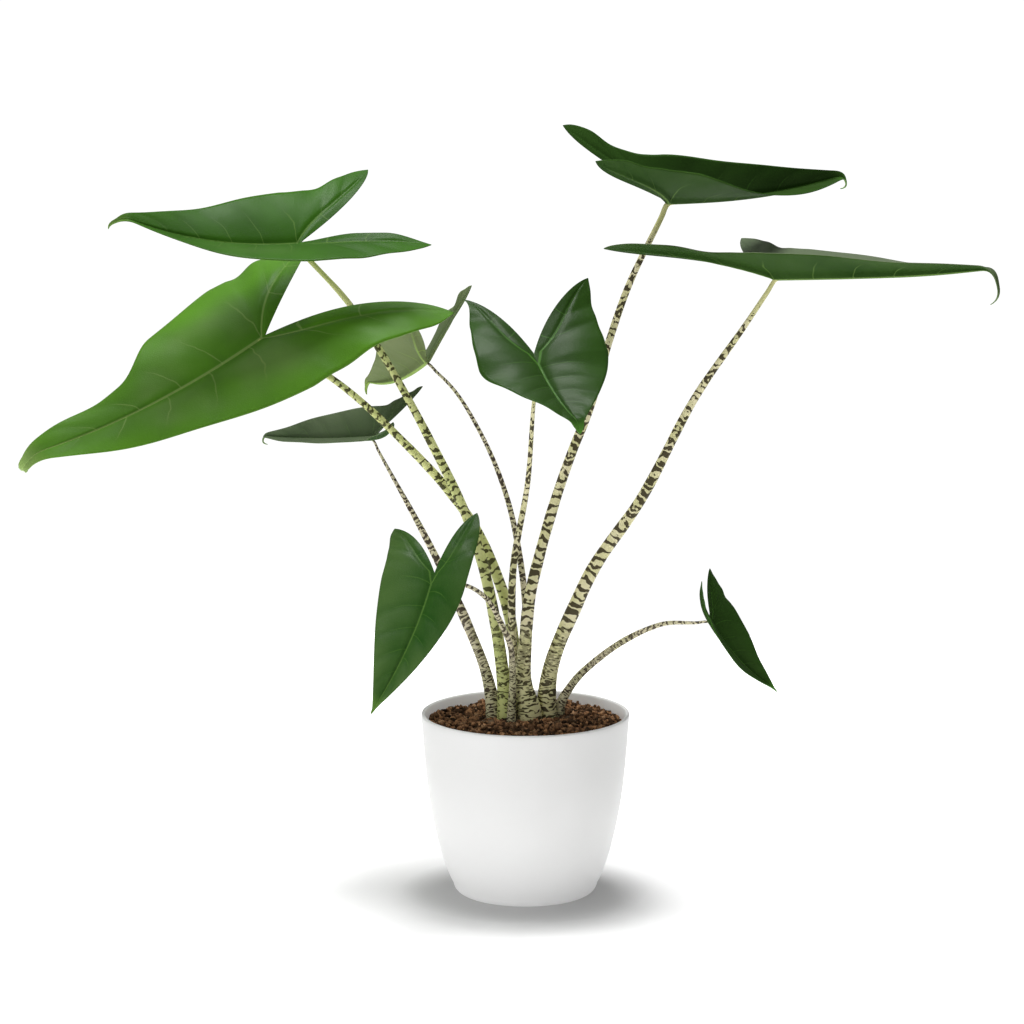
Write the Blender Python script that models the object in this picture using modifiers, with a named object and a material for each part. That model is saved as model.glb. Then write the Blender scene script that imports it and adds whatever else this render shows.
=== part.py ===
"""Potted alocasia: nine arrow-shaped leaves on long stalks in a plain round planter.

Blender 4.5, metres, +Z up. The origin is the centre of the planter's foot, on the table.
-Y is the side that faces the viewer, and +X runs along the plant's widest spread.
"""
from math import ceil, cos, hypot, pi, radians, sin, sqrt

import bmesh
import bpy
import numpy as np
from mathutils import Euler, Vector

# ---------------------------------------------------------------- planter (m)
POT_HEIGHT = 0.158
POT_RIM_RADIUS = 0.0902
POT_FOOT_RADIUS = 0.0625      # where the side runs into the foot's rounding
POT_BELLY = 0.0074            # how far the side swells past a straight cone
POT_WALL = 0.0032
POT_FLOOR = 0.0040
POT_FOOT_ROUNDING = 0.0075

# ---------------------------------------------------------------- soil and corm
SOIL_BELOW_RIM = 0.0105       # at the wall
SOIL_MOUND = 0.0055           # rise of the soil round the stalks
SOIL_GAP = 0.0004             # soil to planter and soil to corm
CORM_DEPTH = 0.0400
CORM_SLIMNESS = 0.68          # width over length, seen from above
CROWN_CUT = 0.24              # height of the flat crown over the corm's half depth
CROWN_MARGIN = 0.0040         # crown left free outside the outermost stalk

# ---------------------------------------------------------------- stalks and blades
PLANT_SCALE = 1.0             # grows or shrinks everything above the corm's crown
BLADE_THICKNESS = 0.0008
JOIN_GAP = 0.0004             # stalk to crown and stalk to blade
SHEATH_LENGTH = 0.100         # the swollen lowest part of a stalk
STALK_UPRIGHT = 0.008         # each stalk leaves the crown straight up for this far

# ---------------------------------------------------------------- mesh fineness
TURN_STEPS = 48
SIDE_POINTS = 7               # points up the planter's side
ROUNDING_POINTS = 4           # points on a rounded corner
SOIL_POINTS = 5               # points from the soil's middle to the wall
CORM_RINGS = 12
BLADE_ROWS_FRONT = 11         # rows from the drip tip to the stalk
BLADE_ROWS_LOBE = 8           # rows from the stalk to a lobe's tip
BLADE_COLUMNS = 3             # columns from the rib to the margin
LINE_STEPS = 60               # steps used to measure along a margin or a rib
STALK_STEP = 0.024            # spacing of the points along a stalk
WELD = 0.00001

SOIL_EDGE_HEIGHT = POT_HEIGHT - SOIL_BELOW_RIM
CROWN_HEIGHT = SOIL_EDGE_HEIGHT + SOIL_MOUND

# Each leaf is a stalk and a blade. Lengths in metres, angles in degrees.
#   joint     where the stalk meets the blade: x, y and the height over the corm's crown
#   heading, pitch, roll   of the line from the joint to the drip tip
#   length    joint to drip tip;  width  rib to margin;  lobe  joint to the lobe's tip
#   spread    angle of a lobe from straight back;  fold  rise of each half from the rib
#   lift      how much a lobe bends up;  cup, droop, twist, curl  bends of the whole blade
#   sweep     sideways curve of the rib;  fullness  how late the front narrows
#   foot      x, y of the stalk on the crown;  bends  the points its route passes
#   girth     stalk radius at the foot, above the sheath and at the joint
# Pairs are left and right as seen from the joint towards the drip tip.
LEAVES = [
    dict(name="upper_left", joint=(-0.195, 0.030, 0.409), heading=205, pitch=-1, roll=-30,
         length=0.160, width=(0.055, 0.056), lobe=(0.115, 0.121), spread=(24, 40),
         fold=(31, 27), lift=(2, 8), cup=23, droop=-20, twist=-4, curl=60,
         sweep=-0.16, fullness=1.40, foot=(-0.017, -0.006),
         bends=[(-0.021, -0.001, 0.051), (-0.025, 0.002, 0.078), (-0.043, 0.010, 0.154),
                (-0.085, 0.018, 0.246), (-0.126, 0.024, 0.319), (-0.151, 0.027, 0.357)],
         girth=(0.0060, 0.0050, 0.0020)),
    dict(name="big_left", joint=(-0.225, 0.010, 0.330), heading=207, pitch=-30, roll=-30,
         length=0.230, width=(0.082, 0.083), lobe=(0.166, 0.141), spread=(30, 40),
         fold=(21, 18), lift=(-26, -18), cup=39, droop=-11, twist=-14, curl=50,
         sweep=-0.11, fullness=1.15, foot=(-0.010, 0.014),
         bends=[(-0.009, 0.019, 0.029), (-0.016, 0.026, 0.094), (-0.024, 0.028, 0.118),
                (-0.046, 0.030, 0.166), (-0.067, 0.030, 0.195), (-0.109, 0.028, 0.241),
                (-0.137, 0.025, 0.269), (-0.167, 0.021, 0.294)],
         girth=(0.0056, 0.0050, 0.0021)),
    dict(name="pale_back", joint=(-0.087, 0.100, 0.299), heading=118, pitch=-26, roll=-10,
         length=0.115, width=(0.046, 0.043), lobe=(0.088, 0.080), spread=(36, 44),
         fold=(43, 47), lift=(8, -18), cup=0, droop=-25, twist=29, curl=60,
         sweep=0.04, fullness=1.30, foot=(0.002, 0.022),
         bends=[(0.001, 0.024, 0.040), (0.001, 0.028, 0.081), (-0.004, 0.037, 0.129),
                (-0.015, 0.051, 0.181), (-0.040, 0.072, 0.240), (-0.067, 0.090, 0.279)],
         girth=(0.0036, 0.0030, 0.0012)),
    dict(name="small_left", joint=(-0.135, 0.080, 0.234), heading=157, pitch=-6, roll=-28,
         length=0.116, width=(0.033, 0.030), lobe=(0.061, 0.065), spread=(29, 46),
         fold=(40, 41), lift=(35, 12), cup=20, droop=1, twist=-7, curl=60,
         sweep=-0.10, fullness=1.40, foot=(-0.028, 0.003),
         bends=[(-0.032, 0.008, 0.030), (-0.051, 0.019, 0.080), (-0.078, 0.036, 0.135)],
         girth=(0.0052, 0.0042, 0.0010)),
    dict(name="centre_front", joint=(0.011, -0.040, 0.314), heading=-67, pitch=-36, roll=-2,
         length=0.080, width=(0.063, 0.054), lobe=(0.108, 0.097), spread=(40, 23),
         fold=(31, 13), lift=(15, -5), cup=36, droop=-15, twist=-6, curl=40,
         sweep=0.07, fullness=1.45, foot=(-0.004, 0.005),
         bends=[(-0.011, 0.003, 0.068), (-0.011, -0.002, 0.126), (0.002, -0.015, 0.211),
                (0.007, -0.031, 0.282)],
         girth=(0.0040, 0.0034, 0.0013)),
    dict(name="hanging_left", joint=(-0.079, -0.090, 0.136), heading=-111, pitch=-49, roll=-15,
         length=0.126, width=(0.030, 0.043), lobe=(0.079, 0.074), spread=(16, 40),
         fold=(25, 12), lift=(-14, -20), cup=32, droop=-2, twist=-9, curl=15,
         sweep=-0.14, fullness=1.55, foot=(-0.012, -0.018),
         bends=[(-0.011, -0.020, 0.038), (-0.013, -0.028, 0.069), (-0.021, -0.036, 0.091),
                (-0.034, -0.050, 0.116), (-0.052, -0.066, 0.130)],
         girth=(0.0032, 0.0024, 0.0012)),
    dict(name="upper_right", joint=(0.122, 0.030, 0.445), heading=27, pitch=-1, roll=27,
         length=0.184, width=(0.040, 0.054), lobe=(0.111, 0.108), spread=(42, 43),
         fold=(41, 54), lift=(1, -17), cup=-3, droop=-14, twist=32, curl=70,
         sweep=0.05, fullness=1.45, foot=(0.0035, -0.0085),
         bends=[(-0.001, -0.007, 0.026), (0.000, -0.005, 0.070), (0.004, -0.003, 0.109),
                (0.012, -0.001, 0.143), (0.041, 0.006, 0.235), (0.054, 0.009, 0.267),
                (0.070, 0.015, 0.322), (0.087, 0.020, 0.371)],
         girth=(0.0082, 0.0052, 0.0022)),
    dict(name="long_right", joint=(0.210, -0.020, 0.386), heading=-44, pitch=5, roll=-1,
         length=0.235, width=(0.049, 0.036), lobe=(0.106, 0.147), spread=(37, 35),
         fold=(26, 38), lift=(1, -10), cup=4, droop=-2, twist=-9, curl=80,
         sweep=0.01, fullness=1.30, foot=(0.018, 0.001),
         bends=[(0.020, 0.002, 0.034), (0.044, 0.001, 0.101), (0.055, 0.001, 0.125),
                (0.098, -0.002, 0.191), (0.146, -0.008, 0.284), (0.187, -0.015, 0.346)],
         girth=(0.0074, 0.0062, 0.0018)),
    dict(name="small_right", joint=(0.159, -0.030, 0.092), heading=-21, pitch=-56, roll=7,
         length=0.079, width=(0.030, 0.028), lobe=(0.049, 0.047), spread=(33, 31),
         fold=(25, 32), lift=(17, 25), cup=12, droop=-24, twist=18, curl=10,
         sweep=0.09, fullness=1.60, foot=(0.030, 0.007),
         bends=[(0.040, 0.005, 0.028), (0.065, 0.000, 0.054), (0.100, -0.009, 0.078),
                (0.118, -0.015, 0.086)],
         girth=(0.0036, 0.0028, 0.0010)),
]

# Shares that give every blade its arrow shape.
TIP_SLENDERNESS = 0.02        # a small value draws the drip tip out thin
SHOULDER_REACH = 0.45         # how far the margin runs straight on past the joint
LOBE_END = (0.14, 0.17)       # outer handle at a lobe's tip: back along it, and outwards
SINUS_END = (0.20, 0.12)      # inner handle at a lobe's tip: back along it, and inwards
SINUS_START = (0.33, 8)       # inner handle at the joint: share of the lobe, degrees inwards
RIB_ROW_LEAN = 0.08           # the row at the joint ends this far behind it
FOLD_FADE = 0.35              # the fold flattens by this share towards the drip tip
CURL_START = 0.90             # the drip tip curls down from here
LOBE_TWIST = 0.6              # a lobe's share of the blade's twist

LEFT, RIGHT = 1, -1

MATERIALS = {
    "planter_white": ((0.86, 0.86, 0.85), 0.45),
    "soil_dark": ((0.055, 0.028, 0.016), 0.95),
    "corm_bark": ((0.20, 0.12, 0.06), 0.80),
    "stalk_mottled": ((0.52, 0.52, 0.24), 0.50),
    "leaf_bright": ((0.11, 0.30, 0.03), 0.35),
    "leaf_dark": ((0.035, 0.11, 0.03), 0.35),
    "leaf_pale": ((0.32, 0.42, 0.20), 0.45),
}
BLADE_MATERIAL = {"upper_left": "leaf_bright", "big_left": "leaf_bright",
                  "pale_back": "leaf_pale"}


def clear_scene():
    for old in list(bpy.data.objects):
        bpy.data.objects.remove(old, do_unlink=True)


def new_collection(name):
    collection = bpy.data.collections.new(name)
    bpy.context.scene.collection.children.link(collection)
    return collection


def make_material(name):
    colour, roughness = MATERIALS[name]
    material = bpy.data.materials.new(name)
    material.use_nodes = True
    shader = material.node_tree.nodes["Principled BSDF"]
    shader.inputs["Base Color"].default_value = (*colour, 1.0)
    shader.inputs["Roughness"].default_value = roughness
    shader.inputs["Metallic"].default_value = 0.0
    return material


def add_object(name, data, material, collection):
    data.materials.append(material)
    piece = bpy.data.objects.new(name, data)
    collection.objects.link(piece)
    return piece


def mesh_from(bm, name):
    mesh = bpy.data.meshes.new(name)
    bm.to_mesh(mesh)
    bm.free()
    mesh.shade_smooth()
    return mesh


# ---------------------------------------------------------------- turned pieces
def pot_radius(height):
    """Outer radius of the planter's side at a height."""
    share = max(0.0, (height - POT_FOOT_ROUNDING) / (POT_HEIGHT - POT_FOOT_ROUNDING))
    cone = POT_FOOT_RADIUS + (POT_RIM_RADIUS - POT_FOOT_RADIUS) * share
    return cone + POT_BELLY * sin(pi * share ** 0.75)


def inner_radius(height):
    return pot_radius(height) - POT_WALL


def corner(centre_r, centre_z, radius, start, end):
    """Points on a round corner of a profile, from one angle to another in degrees."""
    angles = [radians(start + (end - start) * i / ROUNDING_POINTS)
              for i in range(ROUNDING_POINTS + 1)]
    return [(centre_r + radius * cos(a), centre_z + radius * sin(a)) for a in angles]


def heights(low, high, count):
    return [low + (high - low) * i / count for i in range(count + 1)]


def turned(name, profile, material, collection):
    """Turn an (r, z) profile, listed top to bottom on its outer side, round Z."""
    bm = bmesh.new()
    points = [bm.verts.new((r, 0.0, z)) for r, z in profile]
    for first, second in zip(points, points[1:]):
        bm.edges.new((first, second))
    piece = add_object(name, mesh_from(bm, name), material, collection)
    screw = piece.modifiers.new("Turn", "SCREW")
    screw.angle = 2 * pi
    screw.steps = screw.render_steps = TURN_STEPS
    screw.use_merge_vertices = True
    screw.merge_threshold = WELD
    return piece


def make_pot(material, collection):
    """One moulded shell, from the middle of its floor, up inside, over the rim and down."""
    hollow_rounding = POT_FOOT_ROUNDING - POT_WALL / 2
    hollow_low = POT_FLOOR + hollow_rounding
    rim_round = POT_WALL / 2
    rim_low = POT_HEIGHT - rim_round
    profile = [(0.0, POT_FLOOR)]
    profile += corner(inner_radius(hollow_low) - hollow_rounding, hollow_low,
                      hollow_rounding, -90, 0)
    profile += [(inner_radius(z), z) for z in heights(hollow_low, rim_low, SIDE_POINTS)[1:-1]]
    profile += corner(pot_radius(rim_low) - rim_round, rim_low, rim_round, 180, 0)
    profile += [(pot_radius(z), z)
                for z in heights(rim_low, POT_FOOT_ROUNDING, SIDE_POINTS)[1:-1]]
    profile += corner(POT_FOOT_RADIUS - POT_FOOT_ROUNDING, POT_FOOT_ROUNDING,
                      POT_FOOT_ROUNDING, 0, -90)
    profile.append((0.0, 0.0))
    return turned("planter", profile, material, collection)


def make_soil(material, collection, corm_cutter):
    """Soil that fills the planter, mounded in the middle, with a pocket for the corm."""
    edge = inner_radius(SOIL_EDGE_HEIGHT) - SOIL_GAP
    rounding = POT_FOOT_ROUNDING - POT_WALL / 2
    low = POT_FLOOR + SOIL_GAP
    side_low = low + rounding
    radii = heights(0.0, edge, SOIL_POINTS)
    profile = [(r, SOIL_EDGE_HEIGHT + SOIL_MOUND * (1 - (r / edge) ** 2)) for r in radii]
    profile += [(inner_radius(z) - SOIL_GAP, z)
                for z in heights(SOIL_EDGE_HEIGHT, side_low, SIDE_POINTS)[1:-1]]
    profile += corner(inner_radius(side_low) - SOIL_GAP - rounding, side_low, rounding, 0, -90)
    profile.append((0.0, low))
    soil = turned("soil", profile, material, collection)
    pocket = soil.modifiers.new("Corm pocket", "BOOLEAN")
    pocket.operation = "DIFFERENCE"
    pocket.solver = "EXACT"
    pocket.object = corm_cutter
    return soil


# ---------------------------------------------------------------- corm
def crown_half_length():
    """Half length of the crown's ellipse: it takes in the foot of every stalk."""
    reach = 0.0
    for leaf in LEAVES:
        x, y = (abs(c) * PLANT_SCALE for c in leaf["foot"])
        r = leaf["girth"][0] * PLANT_SCALE
        reach = max(reach, hypot(x + r, (y + r) / CORM_SLIMNESS))
    return reach + CROWN_MARGIN


def corm_mesh(name, clearance, with_crown):
    """An egg-shaped corm, cut flat at the crown; grown by a clearance for the pocket."""
    widest = sqrt(1 - CROWN_CUT ** 2)
    half_length = crown_half_length() / widest
    half_depth = CORM_DEPTH / (1 + CROWN_CUT)
    sizes = Vector((half_length, half_length * CORM_SLIMNESS, half_depth))
    sizes += Vector((clearance, clearance, clearance))
    bm = bmesh.new()
    bmesh.ops.create_uvsphere(bm, u_segments=2 * CORM_RINGS, v_segments=CORM_RINGS, radius=1.0)
    bmesh.ops.scale(bm, vec=sizes, verts=bm.verts)
    bmesh.ops.translate(bm, vec=(0, 0, CROWN_HEIGHT - CROWN_CUT * half_depth), verts=bm.verts)
    if with_crown:
        everything = bm.verts[:] + bm.edges[:] + bm.faces[:]
        bmesh.ops.bisect_plane(bm, geom=everything, plane_co=(0, 0, CROWN_HEIGHT),
                               plane_no=(0, 0, 1), clear_outer=True)
        rim = [edge for edge in bm.edges if edge.is_boundary]
        bmesh.ops.edgeloop_fill(bm, edges=rim)
        bmesh.ops.recalc_face_normals(bm, faces=bm.faces)
    return mesh_from(bm, name)


def make_corm_cutter(collection):
    cutter = bpy.data.objects.new("corm_pocket", corm_mesh("corm_pocket", SOIL_GAP, False))
    cutter.hide_render = True
    cutter.display_type = "WIRE"
    collection.objects.link(cutter)
    return cutter


# ---------------------------------------------------------------- blade
def bezier(start, handle_a, handle_b, end):
    t = np.linspace(0.0, 1.0, LINE_STEPS)[:, None]
    return ((1 - t) ** 3 * start + 3 * (1 - t) ** 2 * t * handle_a
            + 3 * (1 - t) * t ** 2 * handle_b + t ** 3 * end)


def line_shares(line):
    """How far along a line each of its points lies, from 0 to 1."""
    steps = np.linalg.norm(np.diff(line, axis=0), axis=1)
    travelled = np.concatenate([[0.0], np.cumsum(steps)])
    return travelled / travelled[-1]


def points_at(line, shares):
    known = line_shares(line)
    return np.stack([np.interp(shares, known, line[:, axis]) for axis in (0, 1)], axis=1)


def flat_half(length, width, lobe, spread, fullness):
    """Rows of points of one flat half blade, x to the drip tip and y out from the rib."""
    out_of_tip = np.linspace(1.0, 0.0, LINE_STEPS)
    slender = (1 - out_of_tip) / (1 - out_of_tip + TIP_SLENDERNESS) * (1 + TIP_SLENDERNESS)
    front = np.stack([out_of_tip * length, width * (1 - out_of_tip ** fullness) * slender], 1)

    along = np.array([-cos(radians(spread)), sin(radians(spread))])
    outward = np.array([along[1], -along[0]])
    lobe_tip = lobe * along
    shoulder = np.array([0.0, width])
    outer = bezier(shoulder, shoulder + np.array([-SHOULDER_REACH * lobe, 0.0]),
                   lobe_tip - LOBE_END[0] * lobe_tip + LOBE_END[1] * lobe * outward, lobe_tip)
    lean = radians(SINUS_START[1])
    sinus = bezier(np.zeros(2),
                   SINUS_START[0] * lobe * (along * cos(lean) - outward * sin(lean)),
                   lobe_tip - SINUS_END[0] * lobe_tip - SINUS_END[1] * lobe * outward, lobe_tip)

    margin = np.concatenate([front, outer[1:]])
    shares = line_shares(margin)
    turn = np.interp(RIB_ROW_LEAN * length, -margin[:LINE_STEPS + 20, 0],
                     shares[:LINE_STEPS + 20])
    front_rows = np.linspace(0.0, 1.0, BLADE_ROWS_FRONT + 1)
    lobe_rows = np.linspace(0.0, 1.0, BLADE_ROWS_LOBE + 1)[1:]
    outer_ends = points_at(margin, np.concatenate([front_rows * turn,
                                                   turn + (1 - turn) * lobe_rows]))
    rib = np.stack([length * (1 - front_rows), 0 * front_rows], axis=1)
    inner_ends = np.concatenate([rib, points_at(sinus, lobe_rows)])
    across = np.linspace(0.0, 1.0, BLADE_COLUMNS + 1)[None, :, None]
    return inner_ends[:, None] * (1 - across) + outer_ends[:, None] * across


def bent_line(length, angles):
    """Where a line of a given length goes when it bends by these angles along its way."""
    middle = (angles[1:] + angles[:-1]) / 2
    step = length / len(middle)
    x = np.concatenate([[0.0], np.cumsum(np.cos(middle))]) * step
    z = np.concatenate([[0.0], np.cumsum(np.sin(middle))]) * step
    return x, z


def ease(share):
    share = np.clip(share, 0.0, 1.0)
    return share * share * (3 - 2 * share)


def bend_half(flat, side, leaf, length, width, lobe, fold, lift):
    """Fold, cup, droop, twist and curl a flat half into its shape in space."""
    x, y = flat[..., 0], flat[..., 1]
    share = np.linspace(0.0, 1.0, LINE_STEPS)
    rib_angle = -(radians(leaf["droop"]) * share ** 1.4
                  + radians(leaf["curl"]) * ease((share - CURL_START) / (1 - CURL_START)))
    rib_x, rib_z = bent_line(length, rib_angle)
    lobe_angle = radians(lift) * ease(share / 0.8)
    lobe_x, lobe_z = bent_line(lobe, lobe_angle)

    ahead = np.clip(x / length, 0.0, 1.0)
    behind = np.clip(-x / lobe, 0.0, 1.0)
    in_front = x >= 0.0
    line_x = np.where(in_front, np.interp(ahead, share, rib_x),
                      -np.interp(behind, share, lobe_x))
    line_z = np.where(in_front, np.interp(ahead, share, rib_z),
                      np.interp(behind, share, lobe_z))
    tilt = np.where(in_front, -np.interp(ahead, share, rib_angle),
                    np.interp(behind, share, lobe_angle))

    bow = radians(leaf["cup"] + 0.01) / width
    rise = radians(fold) * (1 - FOLD_FADE * ahead)
    out = side * (np.sin(rise) - np.sin(rise - bow * y)) / bow
    up = (np.cos(rise - bow * y) - np.cos(rise)) / bow
    turn = radians(leaf["twist"]) * np.where(in_front, ahead, -LOBE_TWIST * behind)
    out, up = out * np.cos(turn) - up * np.sin(turn), out * np.sin(turn) + up * np.cos(turn)
    sideways = leaf["sweep"] * length * ahead ** 2
    return np.stack([line_x + np.sin(tilt) * up, out + sideways,
                     line_z + np.cos(tilt) * up], axis=-1)


def half_points(leaf, side):
    pick = 0 if side == LEFT else 1
    length = leaf["length"] * PLANT_SCALE
    width = leaf["width"][pick] * PLANT_SCALE
    lobe = leaf["lobe"][pick] * PLANT_SCALE
    flat = flat_half(length, width, lobe, leaf["spread"][pick], leaf["fullness"])
    return bend_half(flat, side, leaf, length, width, lobe,
                     leaf["fold"][pick], leaf["lift"][pick])


def blade_turn(leaf):
    return Euler((radians(leaf["roll"]), radians(-leaf["pitch"]), radians(leaf["heading"])))


def above_crown(point):
    """A plant point, given with its height over the crown, in the object's own frame."""
    x, y, height = point
    return Vector((x, y, height)) * PLANT_SCALE + Vector((0, 0, CROWN_HEIGHT))


def make_blade(leaf, material, collection):
    """Two half grids, welded along the rib, then given the leaf's thickness."""
    bm = bmesh.new()
    for side in (LEFT, RIGHT):
        grid = bmesh.ops.create_grid(bm, x_segments=BLADE_COLUMNS,
                                     y_segments=BLADE_ROWS_FRONT + BLADE_ROWS_LOBE, size=1.0)
        places = half_points(leaf, side).reshape(-1, 3)
        for vert, place in zip(grid["verts"], places):
            vert.co = place
        if side == RIGHT:
            own = set(grid["verts"])
            flipped = [face for face in bm.faces if own.issuperset(face.verts)]
            bmesh.ops.reverse_faces(bm, faces=flipped)
    bmesh.ops.remove_doubles(bm, verts=bm.verts, dist=WELD)
    name = "leaf_" + leaf["name"]
    blade = add_object(name, mesh_from(bm, name), material, collection)
    blade.location = above_crown(leaf["joint"])
    blade.rotation_euler = blade_turn(leaf)
    skin = blade.modifiers.new("Thickness", "SOLIDIFY")
    skin.thickness = BLADE_THICKNESS
    skin.offset = 0.0
    return blade


# ---------------------------------------------------------------- stalk
def smooth_route(knots):
    """Close-set points on one smooth curve through the knots."""
    spans = [(end - start).length for start, end in zip(knots, knots[1:])]
    slopes = [(end - start) / span for start, end, span in zip(knots, knots[1:], spans)]
    tangents = [(slope_in * span_out + slope_out * span_in) / (span_in + span_out)
                for slope_in, slope_out, span_in, span_out
                in zip(slopes, slopes[1:], spans, spans[1:])]
    tangents = [slopes[0]] + tangents + [slopes[-1]]
    fine = []
    for i, span in enumerate(spans):
        pieces = ceil(span / STALK_STEP)
        for t in (step / pieces for step in range(pieces)):
            fine.append((2 * t ** 3 - 3 * t ** 2 + 1) * knots[i]
                        + (t ** 3 - 2 * t ** 2 + t) * span * tangents[i]
                        + (3 * t ** 2 - 2 * t ** 3) * knots[i + 1]
                        + (t ** 3 - t ** 2) * span * tangents[i + 1])
    return fine + [knots[-1]]


def stalk_top(leaf, before):
    """The stalk stops just under the blade, clear of it by the joining gap."""
    joint = above_crown(leaf["joint"])
    normal = blade_turn(leaf).to_matrix() @ Vector((0, 0, 1))
    arrival = (joint - before).normalized()
    edge_rise = leaf["girth"][2] * PLANT_SCALE * sqrt(max(0.0, 1 - arrival.dot(normal) ** 2))
    return joint - normal * (BLADE_THICKNESS + JOIN_GAP + edge_rise)


def stalk_radius(leaf, travelled, total):
    foot, neck, top = (r * PLANT_SCALE for r in leaf["girth"])
    sheath = SHEATH_LENGTH * PLANT_SCALE
    if travelled < sheath:
        share = travelled / sheath
        return foot + (neck - foot) * share * share * (3 - 2 * share)
    return neck + (top - neck) * (travelled - sheath) / (total - sheath)


def make_stalk(leaf, material, collection):
    """A tapering tube from the crown, along its route, to the underside of its blade."""
    x, y = (c * PLANT_SCALE for c in leaf["foot"])
    foot = Vector((x, y, CROWN_HEIGHT + JOIN_GAP))
    bends = [above_crown(point) for point in leaf["bends"]]
    route = smooth_route([foot + Vector((0, 0, STALK_UPRIGHT))] + bends
                         + [stalk_top(leaf, bends[-1])])
    route = [foot] + route
    name = "petiole_" + leaf["name"]
    curve = bpy.data.curves.new(name, "CURVE")
    curve.dimensions = "3D"
    curve.bevel_depth = leaf["girth"][0] * PLANT_SCALE
    curve.bevel_resolution = 2
    curve.render_resolution_u = 0
    curve.use_fill_caps = True
    spline = curve.splines.new("POLY")
    spline.points.add(len(route) - 1)
    lengths = [0.0]
    for first, second in zip(route, route[1:]):
        lengths.append(lengths[-1] + (second - first).length)
    for point, place, travelled in zip(spline.points, route, lengths):
        point.co = (*place, 1.0)
        point.radius = stalk_radius(leaf, travelled, lengths[-1]) / curve.bevel_depth
    spline.use_smooth = True
    return add_object(name, curve, material, collection)


def build():
    clear_scene()
    parts = new_collection("Potted alocasia")
    cutters = new_collection("Cutters")
    paint = {name: make_material(name) for name in MATERIALS}
    cutter = make_corm_cutter(cutters)
    make_pot(paint["planter_white"], parts)
    make_soil(paint["soil_dark"], parts, cutter)
    add_object("corm", corm_mesh("corm", 0.0, True), paint["corm_bark"], parts)
    for leaf in LEAVES:
        make_stalk(leaf, paint["stalk_mottled"], parts)
        finish = BLADE_MATERIAL.get(leaf["name"], "leaf_dark")
        make_blade(leaf, paint[finish], parts)


build()
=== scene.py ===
# %% [markdown]
# # Potted alocasia
#
# This lesson dresses a finished frame. The frame is a plain model of the plant: planter, soil, corm,
# nine stalks and nine blades, each in its place. Every step below makes one fine piece, puts it where
# the frame's plain piece stands, and gives it a finish made of shader nodes.

import random
from math import ceil, cos, pi, radians, sin, sqrt, tau

import bmesh
import bpy
import numpy as np
from mathutils import Euler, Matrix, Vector, noise


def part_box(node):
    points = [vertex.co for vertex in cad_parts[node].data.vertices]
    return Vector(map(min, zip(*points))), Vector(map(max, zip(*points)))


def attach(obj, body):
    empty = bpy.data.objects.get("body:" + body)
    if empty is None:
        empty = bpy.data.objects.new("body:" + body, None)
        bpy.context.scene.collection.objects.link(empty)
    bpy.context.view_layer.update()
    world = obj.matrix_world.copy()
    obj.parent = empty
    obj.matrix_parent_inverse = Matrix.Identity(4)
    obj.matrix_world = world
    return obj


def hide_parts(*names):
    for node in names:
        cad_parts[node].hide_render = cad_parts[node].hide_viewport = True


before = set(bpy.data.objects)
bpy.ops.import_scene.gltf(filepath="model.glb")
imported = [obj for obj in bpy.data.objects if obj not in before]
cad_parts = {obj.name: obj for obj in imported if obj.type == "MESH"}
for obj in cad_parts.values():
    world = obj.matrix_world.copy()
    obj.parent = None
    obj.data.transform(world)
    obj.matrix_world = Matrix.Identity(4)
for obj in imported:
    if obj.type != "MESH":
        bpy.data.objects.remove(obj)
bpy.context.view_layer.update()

# %% [markdown]
# Planter and soil are turned shapes round the Z axis, so their boxes in the frame tell their sizes.
# The corm's box tells how high the stalks start, because they stand on its flat crown. Sizes could be
# typed in again here, but read from the frame they can't disagree with it.

# %% Sizes taken from the frame
pot_low, pot_high = (Vector(corner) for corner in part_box("planter"))
soil_low, soil_high = (Vector(corner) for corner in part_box("soil"))
POT_HEIGHT = pot_high.z - pot_low.z
POT_RIM_RADIUS = (pot_high.x - pot_low.x) / 2
CROWN_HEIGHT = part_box("corm")[1][2]
SOIL_RADIUS = (soil_high.x - soil_low.x) / 2
print("planter", round(POT_RIM_RADIUS * 2000), "mm across,", round(POT_HEIGHT * 1000), "mm tall")

# %% [markdown]
# ## Shader maths as Python
#
# A shader is a graph of nodes, and a long one is hard to read as links. Here a `Wire` stands for an
# output socket. Python's operators on a wire add Math nodes, so a mask can be written as a formula.
# The reflected operators let a plain number stand on the left, as in `1 - mask`.

# %% Wire
class Wire:
    """The output of a shader node, for use in formulas."""

    def __init__(self, graph, socket):
        self.graph = graph
        self.socket = socket

    def maths(self, operation, *values):
        return self.graph.node("Math", {"operation": operation}, dict(enumerate(values)))

    def __add__(self, other):
        return self.maths("ADD", self, other)

    def __sub__(self, other):
        return self.maths("SUBTRACT", self, other)

    def __rsub__(self, other):
        return self.maths("SUBTRACT", other, self)

    def __mul__(self, other):
        return self.maths("MULTIPLY", self, other)

    def __truediv__(self, other):
        return self.maths("DIVIDE", self, other)

    def __rtruediv__(self, other):
        return self.maths("DIVIDE", other, self)

    def __pow__(self, other):
        return self.maths("POWER", self, other)

    def __rpow__(self, other):
        return self.maths("POWER", other, self)

    __radd__ = __add__
    __rmul__ = __mul__

    def size(self):
        """The value without its sign."""
        return self.maths("ABSOLUTE", self)

    def part(self):
        """What is left after the whole number is taken away."""
        return self.maths("FRACT", self)

    def sine(self):
        return self.maths("SINE", self)

    def cosine(self):
        return self.maths("COSINE", self)

    def larger(self, other):
        return self.maths("MAXIMUM", self, other)

    def fade(self, low, high):
        """0 at low and 1 at high, with a soft start and end."""
        return self.graph.node("MapRange", {"interpolation_type": "SMOOTHSTEP"},
                               {0: self, 1: low, 2: high, 3: 0.0, 4: 1.0})


print("a wire also has:", [name for name in vars(Wire) if not name.startswith("_")])

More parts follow.
